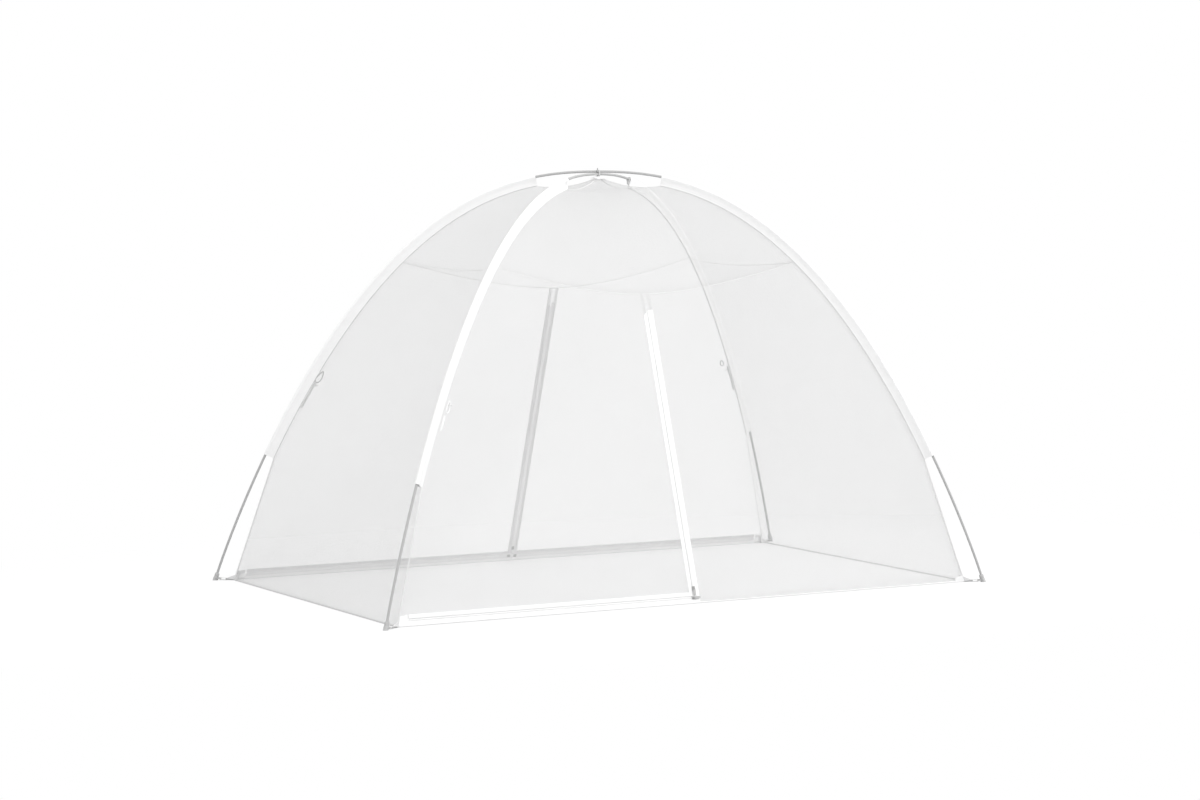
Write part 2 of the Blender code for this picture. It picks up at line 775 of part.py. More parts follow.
def zip_tapes(mats):
    near = CHAIN_HALF - CHAIN_SEAM
    low, hem = TAPE_FLOOR_GAP, ZIP_LINE - near
    cos = math.cos(LEAN_ANGLE)
    top = ZIP_TOP / cos
    far = HALF_X - ZIP_END
    patch_top = RING_LOW / cos - RING_GAP - TAPE_THICKNESS
    mat = mats["cloth"]
    outline = [(-far, low), (TAPE_REACH, low), (TAPE_REACH, patch_top),
               (-TAPE_REACH, patch_top), (-TAPE_REACH, top), (near, top),
               (near, hem), (-far, hem)]
    front = tape("front_zip_tape", "front", outline, mat)
    weave_in(front, chain_up("front_chain_tool", "front", top + CHAIN_SEAM, mats["coil"]))
    base = chain_across("front_base_chain_tool", "front", CHAIN_HALF, mats["coil"])
    weave_in(front, base)
    flap_tape("front_flap_tape", "front", -1, mat)
    outline = [(-far, low), (far, low), (far, hem), (-far, hem)]
    back = tape("back_base_tape", "back", outline, mat)
    end = far - CHAIN_SEAM
    weave_in(back, chain_across("back_base_chain_tool", "back", end, mats["coil"]))
    flap_tape("back_left_flap_tape", "back", 1, mat)
    right = back_right_tape(mat)
    flap_top = flap_tape_top() - DOOR_CHAIN_DROP
    weave_in(right, chain_up("back_chain_tool", "back", flap_top, mats["coil"]))
    outline = [(-TAPE_REACH, top + FIT), (TAPE_REACH, top + FIT),
               (TAPE_REACH, patch_top), (-TAPE_REACH, patch_top)]
    tape("back_zip_patch", "back", outline, mat)


def flap_tape_top():
    """How far up its plane the tape on a flap's free edge reaches."""
    return (1 - (TAPE_REACH + TAPE_TOP_GAP) / HALF_X) * ZIP_TOP / math.cos(LEAN_ANGLE)


def back_right_tape(mat):
    """This flap's free edge carries the back chain, so its tape comes up to it."""
    cos = math.cos(LEAN_ANGLE)
    near, reach = CHAIN_HALF - CHAIN_SEAM, TAPE_REACH
    low, high = ZIP_LINE + FLAP_TAPE_START, ZIP_LINE + TAPE_REACH
    far = fold_u(high * cos) - TAPE_TIP_GAP
    top = flap_tape_top()
    outline = [(-far, low), (-near, low), (-near, top), (-reach, top),
               (-reach, high), (-far, high)]
    return tape("back_right_flap_tape", "back", outline, mat)


def chain_section():
    """The outline of a closed chain, as (across, outwards)."""
    low, high = TAPE_OUT + CHAIN_SET, CHAIN_TOP
    edge = CHAIN_EDGE
    return [(-CHAIN_HALF, low), (CHAIN_HALF, low), (CHAIN_HALF, high - edge),
            (CHAIN_HALF - edge, high), (edge - CHAIN_HALF, high), (-CHAIN_HALF, high - edge)]


def chain_up(name, face, end, mat):
    place = plane_place(face)
    start = ZIP_LINE + SLIDER_HALF + FIT
    rings = [[place(w, v, n) for w, n in chain_section()] for v in (start, end)]
    return add_object(name, skin_rings(rings), mat)


def chain_across(name, face, end, mat):
    place = plane_place(face)
    start = ZIP_END - HALF_X + CHAIN_SEAM
    rings = [[place(u, ZIP_LINE + w, n) for w, n in chain_section()] for u in (start, end)]
    return add_object(name, skin_rings(rings), mat)


def slider_section():
    """A channel that is open to the carrying tape, as (towards the flap, outwards)."""
    low = TAPE_OUT - FIT - SLIDER_PLATE
    lip_low = TAPE_OUT - FIT
    lip_high = TAPE_OUT + TAPE_THICKNESS + FIT
    wall_in = SLIDER_HALF - SLIDER_WALL
    under = CHAIN_TOP + FIT
    half = SLIDER_HALF
    return [(-half, SLIDER_TOP), (half, SLIDER_TOP), (half, low), (-half, low),
            (-half, lip_low), (wall_in, lip_low), (wall_in, under),
            (-wall_in, under), (-wall_in, lip_high), (-half, lip_high)]


def slider_place(face, centre, along, flap_side):
    """Places (s, w, n) round a slider: s along its chain, w towards the flap."""
    place = plane_place(face)
    cu, cv = centre
    if along == "up":
        return lambda s, w, n: place(cu + flap_side * w, cv + s, n)
    return lambda s, w, n: place(cu + s, cv + w, n)


def slider(name, spot, mat):
    body_half = SLIDER_LENGTH / 2
    section = slider_section()
    rings = []
    flank = body_half - SLIDER_NOSE
    for s, waist in ((-body_half, SLIDER_WAIST_SHARE), (-flank, 1.0), (flank, 1.0),
                     (body_half, SLIDER_WAIST_SHARE)):
        ring = []
        for w, n in section:
            pinch = waist if abs(w) == SLIDER_HALF else 1.0
            ring.append(spot(s, w * pinch, n))
        rings.append(ring)
    obj = add_object(name, skin_rings(rings), mat)
    cut_with(obj, bail(name, spot, mat), "UNION")
    return obj


def bail(name, spot, mat):
    """The bridge on top of a slider, which holds the pull's bar."""
    half = BAIL_LENGTH / 2
    leg = BAIL_BAR
    root = SLIDER_TOP - BAIL_ROOT
    under = SLIDER_TOP + BAIL_GAP
    top = under + BAIL_BAR
    edge = BAIL_EDGE
    arch = [(-half, root), (-half, top - edge), (edge - half, top),
            (half - edge, top), (half, top - edge), (half, root),
            (half - leg, root), (half - leg, under), (leg - half, under),
            (leg - half, root)]
    width = BAIL_WIDTH / 2
    rings = [[spot(s, w, n) for s, n in arch] for w in (-width, width)]
    return add_object(f"{name}_bail_tool", skin_rings(rings), mat)


def pull(name, spot, direction, mat):
    """A tab whose bar turns under the bail; direction is where the tab points."""
    bar = PULL_BAR / 2
    hole_end = math.hypot(BAIL_LENGTH / 2, BAIL_GAP / 2 + BAIL_BAR) + FIT
    hole_half = BAIL_WIDTH / 2 + 2 * FIT
    half = PULL_WIDTH / 2
    tip = PULL_LENGTH - bar
    shoulder = half - PULL_EDGE
    nose = tip - PULL_NOSE
    outer = [(-bar, -shoulder), (-bar, shoulder), (hole_end, half), (nose, half * 0.8),
             (tip, half * 0.5), (tip, -half * 0.5), (nose, -half * 0.8),
             (hole_end, -half)]
    inner = [(bar, -hole_half), (bar, hole_half), (hole_end * 0.5, hole_half),
             (hole_end, hole_half), (hole_end, hole_half * 0.5),
             (hole_end, -hole_half * 0.5), (hole_end, -hole_half),
             (hole_end * 0.5, -hole_half)]
    thick = PULL_THICKNESS / 2
    rings = []
    for loop, n in ((outer, -thick), (outer, thick), (inner, thick), (inner, -thick)):
        rings.append([spot(direction * s, w, PULL_AXIS + n) for s, w in loop])
    return add_object(name, skin_rings(rings, closed=True), mat)


def zip_sliders(mats):
    up = (0.0, UP_SLIDER_PLACE)
    sliders = [
        ("front_slider_up", "front", up, "up", -1, -1),
        ("front_slider_base", "front", (-SIDE_SLIDER_PLACE, ZIP_LINE), "across", 1, 1),
        ("back_slider_up", "back", up, "up", 1, -1),
        ("back_slider_base_left", "back", (BACK_SLIDER_PLACE, ZIP_LINE), "across", 1, 1),
        ("back_slider_base_right", "back", (-BACK_SLIDER_PLACE, ZIP_LINE), "across", 1, -1),
    ]
    for name, face, centre, along, flap_side, direction in sliders:
        spot = slider_place(face, centre, along, flap_side)
        slider(name, spot, mats["slider"])
        pull(name.replace("slider", "pull"), spot, direction, mats["slider"])


# Floor, peak patch and the tie that holds the net to the crossing

def floor_sheet(mats):
    """The floor, whose cut corners have the foot straps sewn on."""
    x, y = HALF_X + FLOOR_HEM, HALF_Y + FLOOR_HEM
    cut_x = FLOOR_CORNER_CUT / DIAGONAL[0]
    cut_y = FLOOR_CORNER_CUT / DIAGONAL[1]
    outline = []
    for sx, sy, first in ((1, -1, "y"), (1, 1, "x"), (-1, 1, "y"), (-1, -1, "x")):
        on_x_edge = (sx * (x - cut_x), sy * y)
        on_y_edge = (sx * x, sy * (y - cut_y))
        outline += [on_x_edge, on_y_edge] if first == "y" else [on_y_edge, on_x_edge]
    bm = prism(outline, lambda u, v, n: Vector((u, v, n)), 0.0, FLOOR_THICKNESS)
    obj = add_object("floor_with_straps", bm, mats["floor"])
    for corner in CORNERS:
        cut_with(obj, foot_strap(corner, mats["cloth"]), "UNION")
    return obj


def peak_patch(mat):
    """A small eight-sided cap sewn over the tips of the roof nets."""
    low = PEAK_HEIGHT + NET_THICKNESS / 2 + FIT
    near = ROOF_SEAMS["b"][-2]
    drop = (PEAK_HEIGHT - near.z) * PATCH_RADIUS / math.hypot(*near.xy) * PATCH_FOLLOW
    rings = []
    for lift in (0.0, PATCH_THICKNESS):
        rings.append([Vector((PATCH_RADIUS * math.cos(math.pi * i / 4),
                              PATCH_RADIUS * math.sin(math.pi * i / 4),
                              low + lift - drop)) for i in range(8)])
        rings.append([Vector((PEAK_RADIUS * 0.5 * math.cos(math.pi * i / 4),
                              PEAK_RADIUS * 0.5 * math.sin(math.pi * i / 4),
                              low + lift)) for i in range(8)])
    rings = [rings[1], rings[0], rings[2], rings[3]]
    return add_object("peak_patch", skin_rings(rings), mat)


def apex_tie(mat):
    """A band round both poles where they cross, sewn to the peak below them."""
    half_width = APEX_TIE_WIDTH / 2
    skew = half_width * DIAGONAL[1] / DIAGONAL[0]
    reach = POLE_DIAMETER / 2 / DIAGONAL[0] + skew + FIT
    low = PEAK_HEIGHT + NET_THICKNESS / 2 + PATCH_THICKNESS + 2 * FIT + APEX_TIE_THICKNESS
    high = POLE_TOP["ac"] + POLE_DIAMETER / 2 + FIT

    def loop(grow):
        y, z0, z1 = reach + grow, low - grow, high + grow
        b = APEX_TIE_BEND + grow
        return [(-y + b, z0), (y - b, z0), (y, z0 + b), (y, z1 - b),
                (y - b, z1), (b - y, z1), (-y, z1 - b), (-y, z0 + b)]

    rings = []
    for grow, x in ((0, -half_width), (0, half_width), (APEX_TIE_THICKNESS, half_width),
                    (APEX_TIE_THICKNESS, -half_width)):
        rings.append([Vector((x, y, z)) for y, z in loop(grow)])
    return add_object("apex_tie", skin_rings(rings, closed=True), mat)


# Tie-backs: a ribbon and a toggle on the seam, which hold a rolled door

def seam_frame(corner, height):
    """A spot on a long wall beside the seam: point, up the seam, across and outwards."""
    seam = WALL_SEAMS[corner]
    heights = wall_row_heights(seam)
    side = CORNERS[corner][0]
    k = max(i for i, point in enumerate(seam[:-1]) if point.z <= height)
    share = (height - seam[k].z) / (seam[k + 1].z - seam[k].z)
    spots = []
    for i in (k, k + 1):
        x_in = max(NET_ZIP_INSET, fold_u(heights[i]))
        near = 1 - 1 / WALL_COLUMNS
        spots.append((seam[i], wall_point(seam[i], side * x_in, heights[i], near)))
    (low, low_in), (high, high_in) = spots
    point = low.lerp(high, share)
    inner = low_in.lerp(high_in, share)
    up = (high - low).normalized()
    across = (inner - point).normalized()
    out = up.cross(across).normalized()
    if out.y * CORNERS[corner][1] < 0:
        out = -out
    return point + across * TIE_INSET, up, across, out


def tie_back(corner, mats):
    rings = []
    steps = 3
    for i in range(steps + 1):
        height = TIE_HEIGHT - TIE_LENGTH * i / steps
        spot, up, across, out = seam_frame(corner, height)
        low = NET_THICKNESS / 2 + 2 * FIT
        half = TIE_WIDTH / 2
        rings.append([spot + across * w + out * n for w, n in (
            (-half, low), (half, low), (half, low + TIE_THICKNESS),
            (-half, low + TIE_THICKNESS))])
    ribbon = add_object(f"tie_back_{corner}", skin_rings(rings), mats["elastic"])
    spot, up, across, out = seam_frame(corner, TIE_HEIGHT - TOGGLE_DROP)
    rise = NET_THICKNESS / 2 + 2 * FIT + TIE_THICKNESS + TOGGLE_DIAMETER / 4
    rings = []
    for share, swell in ((-1, 0.7), (-0.5, 1.0), (0.0, 0.75), (0.5, 1.0), (1, 0.7)):
        centre = spot + out * rise + across * (share * TOGGLE_LENGTH / 2)
        radius = TOGGLE_DIAMETER / 2 * swell
        rings.append([centre + up * (radius * math.cos(math.pi * k / 3))
                      + out * (radius * math.sin(math.pi * k / 3)) for k in range(6)])
    toggle = add_object(f"tie_toggle_tool_{corner}", skin_rings(rings), mats["plastic"])
    cut_with(ribbon, toggle, "UNION")


def sleeve_clip(corner, mat):
    """A clip round the bare pole above a sleeve's mouth, with a tongue to the net."""
    pole = corner_pole(corner)
    end = station_for_reach(pole, SLEEVE_MOUTH)
    step = step_length(pole)
    bore = POLE_DIAMETER / 2 + FIT
    outer = bore + CLIP_WALL
    first = end + CLIP_AWAY / step
    last = first + CLIP_WIDTH / step
    numbers = [first, last]
    if corner_sign(corner) > 0:
        numbers = [LAST_STATION - t for t in numbers]
    arc = [-105, -60, -20, 20, 60, 105]
    outline = [(outer * math.cos(math.radians(a)), outer * math.sin(math.radians(a)))
               for a in arc]
    outline += [(-outer - CLIP_DROP, CLIP_TONGUE / 2), (-outer - CLIP_DROP, -CLIP_TONGUE / 2)]
    corner_reach = bore / math.cos(math.radians(CLIP_STEP_ANGLE))
    hole = [(corner_reach * math.cos(math.radians(a)),
             corner_reach * math.sin(math.radians(a))) for a in arc + [150, 210]]
    rings = []
    for section, order in ((outline, numbers), (hole, list(reversed(numbers)))):
        for t in order:
            point, _, outward = arch_frame(pole, t)
            rings.append([to_world(pole, point + outward * o, s) for o, s in section])
    return add_object(f"sleeve_clip_{corner}", skin_rings(rings, closed=True), mat)


def build():
    for obj in list(bpy.data.objects):
        bpy.data.objects.remove(obj, do_unlink=True)
    mats = make_materials()
    for pole in POLE_TOP:
        for number in range(SECTION_COUNT):
            pole_section(pole, number, mats["pole"])
        shock_cord(pole, mats["elastic"])
    for corner in CORNERS:
        foot_cap(corner, mats["plastic"])
        sleeve(corner, mats["cloth"])
    floor_sheet(mats)
    long_wall("front_wall_left", "b", True, mats["net"])
    long_wall("front_wall_right", "c", False, mats["net"])
    long_wall("back_wall_left", "a", True, mats["net"])
    long_wall("back_wall_right", "d", True, mats["net"])
    side_wall("left_wall", ("a", "b"), mats["net"])
    side_wall("right_wall", ("c", "d"), mats["net"])
    roof_gore("roof_front", ("b", "c"), mats["net"])
    roof_gore("roof_back", ("a", "d"), mats["net"])
    roof_gore("roof_left", ("a", "b"), mats["net"])
    roof_gore("roof_right", ("c", "d"), mats["net"])
    door_flap("front_flap", "front", -1, mats["net"])
    door_flap("back_flap_left", "back", 1, mats["net"])
    door_flap("back_flap_right", "back", -1, mats["net"])
    zip_tapes(mats)
    zip_sliders(mats)
    peak_patch(mats["cloth"])
    apex_tie(mats["elastic"])
    for corner in ("a", "b", "d"):
        tie_back(corner, mats)
    sleeve_clip("d", mats["plastic"])


build()
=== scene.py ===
import bisect
import math

import bmesh
import bpy
from mathutils import Matrix, Vector, noise


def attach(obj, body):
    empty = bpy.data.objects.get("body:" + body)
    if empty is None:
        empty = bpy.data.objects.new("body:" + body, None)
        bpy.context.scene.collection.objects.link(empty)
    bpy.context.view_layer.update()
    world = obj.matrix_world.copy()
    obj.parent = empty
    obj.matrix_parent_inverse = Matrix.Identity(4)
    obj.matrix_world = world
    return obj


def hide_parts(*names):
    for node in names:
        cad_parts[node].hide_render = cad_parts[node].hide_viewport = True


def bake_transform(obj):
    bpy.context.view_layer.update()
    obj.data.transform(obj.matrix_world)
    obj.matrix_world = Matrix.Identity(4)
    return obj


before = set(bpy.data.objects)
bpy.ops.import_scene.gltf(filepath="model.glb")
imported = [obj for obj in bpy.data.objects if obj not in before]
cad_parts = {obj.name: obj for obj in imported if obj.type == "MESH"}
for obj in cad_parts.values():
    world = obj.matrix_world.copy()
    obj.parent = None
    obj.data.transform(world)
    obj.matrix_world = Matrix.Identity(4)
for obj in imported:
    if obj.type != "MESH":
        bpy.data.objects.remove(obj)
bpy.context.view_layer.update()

# Sizes of the tent in metres, the same as the solids have

POLE_SPAN_X = 2.115
POLE_SPAN_Y = 1.253
ARCH_HEIGHT = 1.300
ARCH_SPREAD_POWER = 2.36
ARCH_CROWN_POWER = 1.06
POLE_FOOT_LIFT = 0.0045
POLE_RADIUS = 0.0040
LIFT_OVER = 0.0083
NET_CORNER_GAP = 0.0600
SLEEVE_START = 0.405
SLEEVE_MOUTH = 0.200
SLEEVE_DEPTH = 0.030
PEAK_HEIGHT = 1.2915
PEAK_RADIUS = 0.012
PEAK_SAG = 0.014
RING_HEIGHT = 1.020
RING_DROOP_FRONT = 0.090
RING_DROOP_SIDE = 0.015
RING_LOW = RING_HEIGHT - RING_DROOP_FRONT
RING_RATIO = RING_LOW / RING_HEIGHT
LONG_WALL_LEAN = 0.328
SIDE_WALL_BOW = 0.035
BOW_POWER = 1.6
FLAT_STRIP = 0.0144
ZIP_TOP = 0.880
ZIP_LINE = 0.018
TAPE_REACH = 0.017
TAPE_OUT = 0.0013
FLAP_TAPE_START = 0.0050
NET_ZIP_INSET = 0.0065
CHAIN_HALF = 0.0026
ZIP_END = 0.035
FLOOR_HEM = 0.0030

FOOT_REACH = math.hypot(POLE_SPAN_X, POLE_SPAN_Y) / 2
DIAGONAL = (POLE_SPAN_X / 2 / FOOT_REACH, POLE_SPAN_Y / 2 / FOOT_REACH)
NET_CORNER_REACH = FOOT_REACH - NET_CORNER_GAP
HALF_X = NET_CORNER_REACH * DIAGONAL[0]
HALF_Y = NET_CORNER_REACH * DIAGONAL[1]
CORNERS = {"a": (-1, 1), "b": (-1, -1), "c": (1, -1), "d": (1, 1)}
CORNER_POLE = {"a": "ac", "c": "ac", "b": "bd", "d": "bd"}
POLE_TOP = {"ac": ARCH_HEIGHT + LIFT_OVER, "bd": ARCH_HEIGHT}
LEAN_ANGLE = math.atan(LONG_WALL_LEAN)
LEAN_SIN, LEAN_COS = math.sin(LEAN_ANGLE), math.cos(LEAN_ANGLE)
PLANE_TOP = ZIP_TOP / LEAN_COS
DOOR_LOW = (ZIP_LINE + NET_ZIP_INSET) * LEAN_COS


# Camera

LENS = 94.23
SENSOR = 36.0
CAMERA_PLACE = (-4.9453, -8.6822, 1.3316)
CAMERA_RIGHT = Vector((0.86868, -0.49536, 0.0))
CAMERA_BACK = Vector((-0.49397, -0.86624, 0.07487))


def add_object(name, data):
    obj = bpy.data.objects.new(name, data)
    bpy.context.scene.collection.objects.link(obj)
    return obj


def make_camera():
    data = bpy.data.cameras.new("camera")
    data.lens = LENS
    data.sensor_width = SENSOR
    data.clip_end = 100.0
    camera = add_object("camera", data)
    up = CAMERA_BACK.cross(CAMERA_RIGHT)
    turn = Matrix((CAMERA_RIGHT, up, CAMERA_BACK)).transposed().to_4x4()
    camera.matrix_world = Matrix.Translation(CAMERA_PLACE) @ turn
    bpy.context.scene.camera = camera


make_camera()


# Materials

class Tree:
    """The nodes of a material or world, with short ways to add and join them."""

    def __init__(self, owner):
        owner.use_nodes = True
        self.owner = owner
        self.nodes = owner.node_tree.nodes

    def feed(self, socket, value):
        """Gives a socket a constant, or links it to another node's output."""
        if hasattr(value, "is_linked"):
            self.owner.node_tree.links.new(value, socket)
        else:
            socket.default_value = value

    def feed_named(self, made, **values):
        for key, value in values.items():
            self.feed(made.inputs[key.replace("_", " ")], value)
        return made.outputs[0]

    def node(self, kind, *values, **settings):
        """A new node with its settings, and values for its first sockets."""
        made = self.nodes.new("ShaderNode" + kind)
        for key, value in settings.items():
            setattr(made, key, value)
        for socket, value in zip(made.inputs, values):
            self.feed(socket, value)
        return made

    def math(self, operation, a, b=0.0):
        return self.node("Math", a, b, operation=operation).outputs[0]

    def vector(self, operation, *values, scale=None):
        made = self.node("VectorMath", *values, operation=operation)
        if scale is not None:
            made.inputs["Scale"].default_value = scale
        return made.outputs["Value" if operation == "LENGTH" else "Vector"]

    def parts(self, vector):
        return self.node("SeparateXYZ", vector).outputs

    def ramp(self, value, low, high, out_low=0.0, out_high=1.0):
        return self.node("MapRange", value, low, high, out_low, out_high,
                         interpolation_type="SMOOTHSTEP").outputs[0]

    def mix(self, share, a, b):
        made = self.node("Mix", data_type="RGBA")
        for place, value in ((0, share), (6, a), (7, b)):
            self.feed(made.inputs[place], value)
        return made.outputs[2]

    def uv(self):
        return self.node("UVMap", uv_map="cloth").outputs[0]

    def position(self):
        return self.node("TexCoord").outputs["Object"]

    def noise(self, place, scale, detail=2.0):
        return self.feed_named(self.node("TexNoise", place), Scale=scale, Detail=detail)

    def bump(self, height, strength, distance):
        self.set(Normal=self.feed_named(self.node("Bump"), Height=height, Strength=strength,
                                        Distance=distance))

    def set(self, **values):
        self.feed_named(self.nodes["Principled BSDF"], **values)

    def seen_rays(self):
        """1 for the rays that show the background itself, straight or in a gloss."""
        paths = self.node("LightPath").outputs
        others = self.math("MAXIMUM", paths["Is Glossy Ray"], paths["Is Transmission Ray"])
        return self.math("MAXIMUM", paths["Is Camera Ray"], others)


def grey(value):
    return (value, value, value, 1.0)


NET_PITCH = 0.0017
HALF_ROOT_3 = 0.8660254


def net_material():
    """A warp-knitted net: six-sided holes about 1.5 mm across, open to the light."""
    t = Tree(bpy.data.materials.new("net_mesh"))
    place = t.vector("SCALE", t.uv(), scale=1 / NET_PITCH)
    half = (0.5, HALF_ROOT_3, 0.5)
    low = (-0.5, -HALF_ROOT_3, -0.5)
    reach = []
    for shift in ((0.0, 0.0, 0.0), half):
        moved = t.vector("SUBTRACT", place, shift)
        x, y, _ = t.parts(t.vector("ABSOLUTE", t.vector("WRAP", moved, half, low)))
        slant = t.math("ADD", t.math("MULTIPLY", x, 0.5), t.math("MULTIPLY", y, HALF_ROOT_3))
        reach.append(t.math("MAXIMUM", x, slant))
    near = t.math("MINIMUM", *reach)
    wander = t.noise(t.uv(), 60.0)
    thread = t.math("ADD", near, t.math("MULTIPLY", wander, 0.010))
    t.bump(t.ramp(near, 0.445, 0.5), 0.5, 0.0001)
    t.set(Alpha=t.ramp(thread, 0.451, 0.473), Roughness=0.75, Specular_IOR_Level=0.2,
          Base_Color=t.mix(t.noise(t.uv(), 9.0, 3.0), grey(0.66), grey(0.72)))
    return t.owner


def woven_material(name, low, high, pitch, roughness=0.8, sheen=0.15, wrinkle=0.0):
    """A plain weave: threads that pass over and under each other."""
    t = Tree(bpy.data.materials.new(name))
    x, y, _ = t.parts(t.vector("SCALE", t.uv(), scale=math.pi / pitch))
    over = t.ramp(t.math("MULTIPLY", t.math("SINE", x), t.math("SINE", y)), -1.0, 1.0)
    patchy = t.noise(t.uv(), 22.0, 4.0)
    tone = t.mix(patchy, grey(low), grey(high))
    height = t.math("ADD", t.math("MULTIPLY", over, 0.5), t.math("MULTIPLY", patchy, wrinkle))
    t.bump(height, 0.35, 0.0003)
    # The weave's crossings are painted up to 10% darker: painted shade between the threads.
    t.set(Base_Color=t.mix(t.math("MULTIPLY", over, 0.10), tone, grey(low * 0.8)),
          Roughness=t.ramp(patchy, 0.2, 0.8, roughness - 0.06, roughness + 0.06),
          Sheen_Weight=sheen, Sheen_Roughness=0.5, Specular_IOR_Level=0.3)
    return t.owner


def streaked_material(name, low, high, roughness, along=(1.0, 1.0, 1.0), metallic=0.0):
    """Drawn glass fibre or moulded plastic with a fine grain and rubbed edges."""
    t = Tree(bpy.data.materials.new(name))
    grain = t.noise(t.vector("MULTIPLY", t.position(), along), 30.0, 5.0)
    speck = t.noise(t.position(), 700.0)
    tone = t.mix(grain, grey(low), grey(high))
    rubbed = t.node("NewGeometry").outputs["Pointiness"]
    edge = t.math("MULTIPLY", t.ramp(rubbed, 0.52, 0.62), 0.5)
    t.bump(speck, 0.25, 0.0001)
    t.set(Base_Color=t.mix(edge, tone, grey(high * 1.5)), Metallic=metallic,
          Roughness=t.ramp(grain, 0.25, 0.75, roughness - 0.08, roughness + 0.08))
    return t.owner


MATS = {
    "net": net_material(),
    "sleeve": woven_material("sleeve_cloth", 0.94, 0.98, 0.0006, wrinkle=0.6),
    "floor": woven_material("floor_cloth", 0.83, 0.88, 0.0008, roughness=0.65, wrinkle=1.2),
    "tape": woven_material("zip_tape", 0.94, 0.98, 0.0007, sheen=0.1),
    # lining: a darker copy of the tape's tone, painted shade for the tapes' inward faces; also
    # used on the front hem, three corner patches and tie b
    "lining": woven_material("zip_tape_painted_shade", 0.85, 0.91, 0.0009),
    "guard": woven_material("zip_guard", 0.72, 0.78, 0.0007),
    "binding": woven_material("seam_binding", 0.78, 0.86, 0.0006),
    "piping": woven_material("seam_piping", 0.36, 0.44, 0.0008),
    "hem": woven_material("hem_binding", 0.66, 0.74, 0.0007),
    "webbing": woven_material("webbing", 0.70, 0.80, 0.0016),
    "elastic": woven_material("elastic_braid", 0.50, 0.60, 0.0009, sheen=0.0),
    # A darker tone for tie d's ribbon, which is painted shade; tie a's same ribbon is plain
    # tape.
    "ribbon": woven_material("tie_ribbon", 0.72, 0.80, 0.0009, sheen=0.1),
    "coil": streaked_material("zip_coil", 0.86, 0.92, 0.45),
    "thread": woven_material("sewing_thread", 0.80, 0.86, 0.0004, sheen=0.3),
    "pole": streaked_material("glass_fibre", 0.40, 0.50, 0.38, (40.0, 1.5, 1.5)),
    "plastic": streaked_material("moulded_plastic", 0.40, 0.48, 0.5),
    "toggle": streaked_material("toggle_plastic", 0.66, 0.74, 0.5),
    "zip_metal": streaked_material("enamelled_zinc", 0.30, 0.36, 0.38, metallic=0.6),
}


# Mesh helpers

UP = Vector((0, 0, 1))
SHARP_ANGLE = math.radians(40)
MERGE_DISTANCE = 0.00002


def spaced(first, last, count):
    """count + 1 numbers from first to last."""
    return [first + (last - first) * i / count for i in range(count + 1)]


def shares_of(count):
    return spaced(0.0, 1.0, count)


def fade(value, reach):
    """0 at an edge, 1 from reach inwards."""
    t = min(max(value / reach, 0.0), 1.0)
    return t * t * (3 - 2 * t)


def run_along(points):
    """The length of a path from its first point up to each of them."""
    run = [0.0]
    for a, b in zip(points, points[1:]):
        run.append(run[-1] + (b - a).length)
    return run


def bracket(values, goal):
    """The place in a rising list before goal, and goal's share of the way to the next."""
    k = max(i for i, value in enumerate(values[:-1]) if value <= goal)
    return k, (goal - values[k]) / (values[k + 1] - values[k])


def heading(points, i):
    """The direction of a path at one of its points."""
    return (points[min(i + 1, len(points) - 1)] - points[max(i - 1, 0)]).normalized()


def circle(centre, a, b, radius, count):
    """Points round a centre, in the plane of the unit vectors a and b."""
    turns = [2 * math.pi * k / count for k in range(count)]
    return [centre + a * (radius * math.cos(turn)) + b * (radius * math.sin(turn))
            for turn in turns]


def dress(obj, *nodes, slot="white_cloth", body="tent", door=None):
    """Ties a piece to its body, or for a door piece runs fold_blend, and hides the solids it
    stands for; slot is not used.
    """
    if door:
        fold_blend(obj, *door)
    else:
        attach(obj, body)
    if nodes:
        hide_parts(*nodes)
    return obj


def finish_mesh(name, bm, material):
    bmesh.ops.recalc_face_normals(bm, faces=bm.faces)
    mesh = bpy.data.meshes.new(name)
    bm.to_mesh(mesh)
    bm.free()
    mesh.materials.append(MATS[material])
    mesh.shade_smooth()
    mesh.set_sharp_from_angle(angle=SHARP_ANGLE)
    return add_object(name, mesh)


def add_face(bm, layer, *corners):
    """A face from pairs of a corner and its place on the flat cloth."""
    face = bm.faces.new([corner for corner, _ in corners])
    for loop, (_, flat) in zip(face.loops, corners):
        loop[layer].uv = flat


def thicken(obj, thickness, offset):
    shell = obj.modifiers.new("cloth", "SOLIDIFY")
    shell.thickness = thickness
    shell.offset = offset
    graph = bpy.context.evaluated_depsgraph_get()
    mesh = bpy.data.meshes.new_from_object(obj.evaluated_get(graph))
    obj.modifiers.clear()
    obj.data = mesh
    return obj


def grid_mesh(name, rows, material, thickness, skip=None):
    """A sheet from rows of pairs: a point, and its place on the flat cloth in metres."""
    bm = bmesh.new()
    layer = bm.loops.layers.uv.new("cloth")
    grid = [[(bm.verts.new(point), flat) for point, flat in row] for row in rows]
    for i in range(len(rows) - 1):
        for j in range(len(rows[0]) - 1):
            if skip is None or not skip(i, j):
                add_face(bm, layer, *grid[i][j:j + 2], *grid[i + 1][j:j + 2][::-1])
    bmesh.ops.remove_doubles(bm, verts=bm.verts, dist=MERGE_DISTANCE)
    bmesh.ops.dissolve_degenerate(bm, edges=bm.edges, dist=MERGE_DISTANCE)
    loose = [v for v in bm.verts if not v.link_faces]
    bmesh.ops.delete(bm, geom=loose, context="VERTS")
    return thicken(finish_mesh(name, bm, material), thickness, 0.0)


def mapped_sheet(name, across, up, spot, material, thickness):
    """A sheet over two lists; spot(u, v) gives a point and its place on the flat cloth."""
    return grid_mesh(name, [[spot(u, v) for u in across] for v in up], material, thickness)


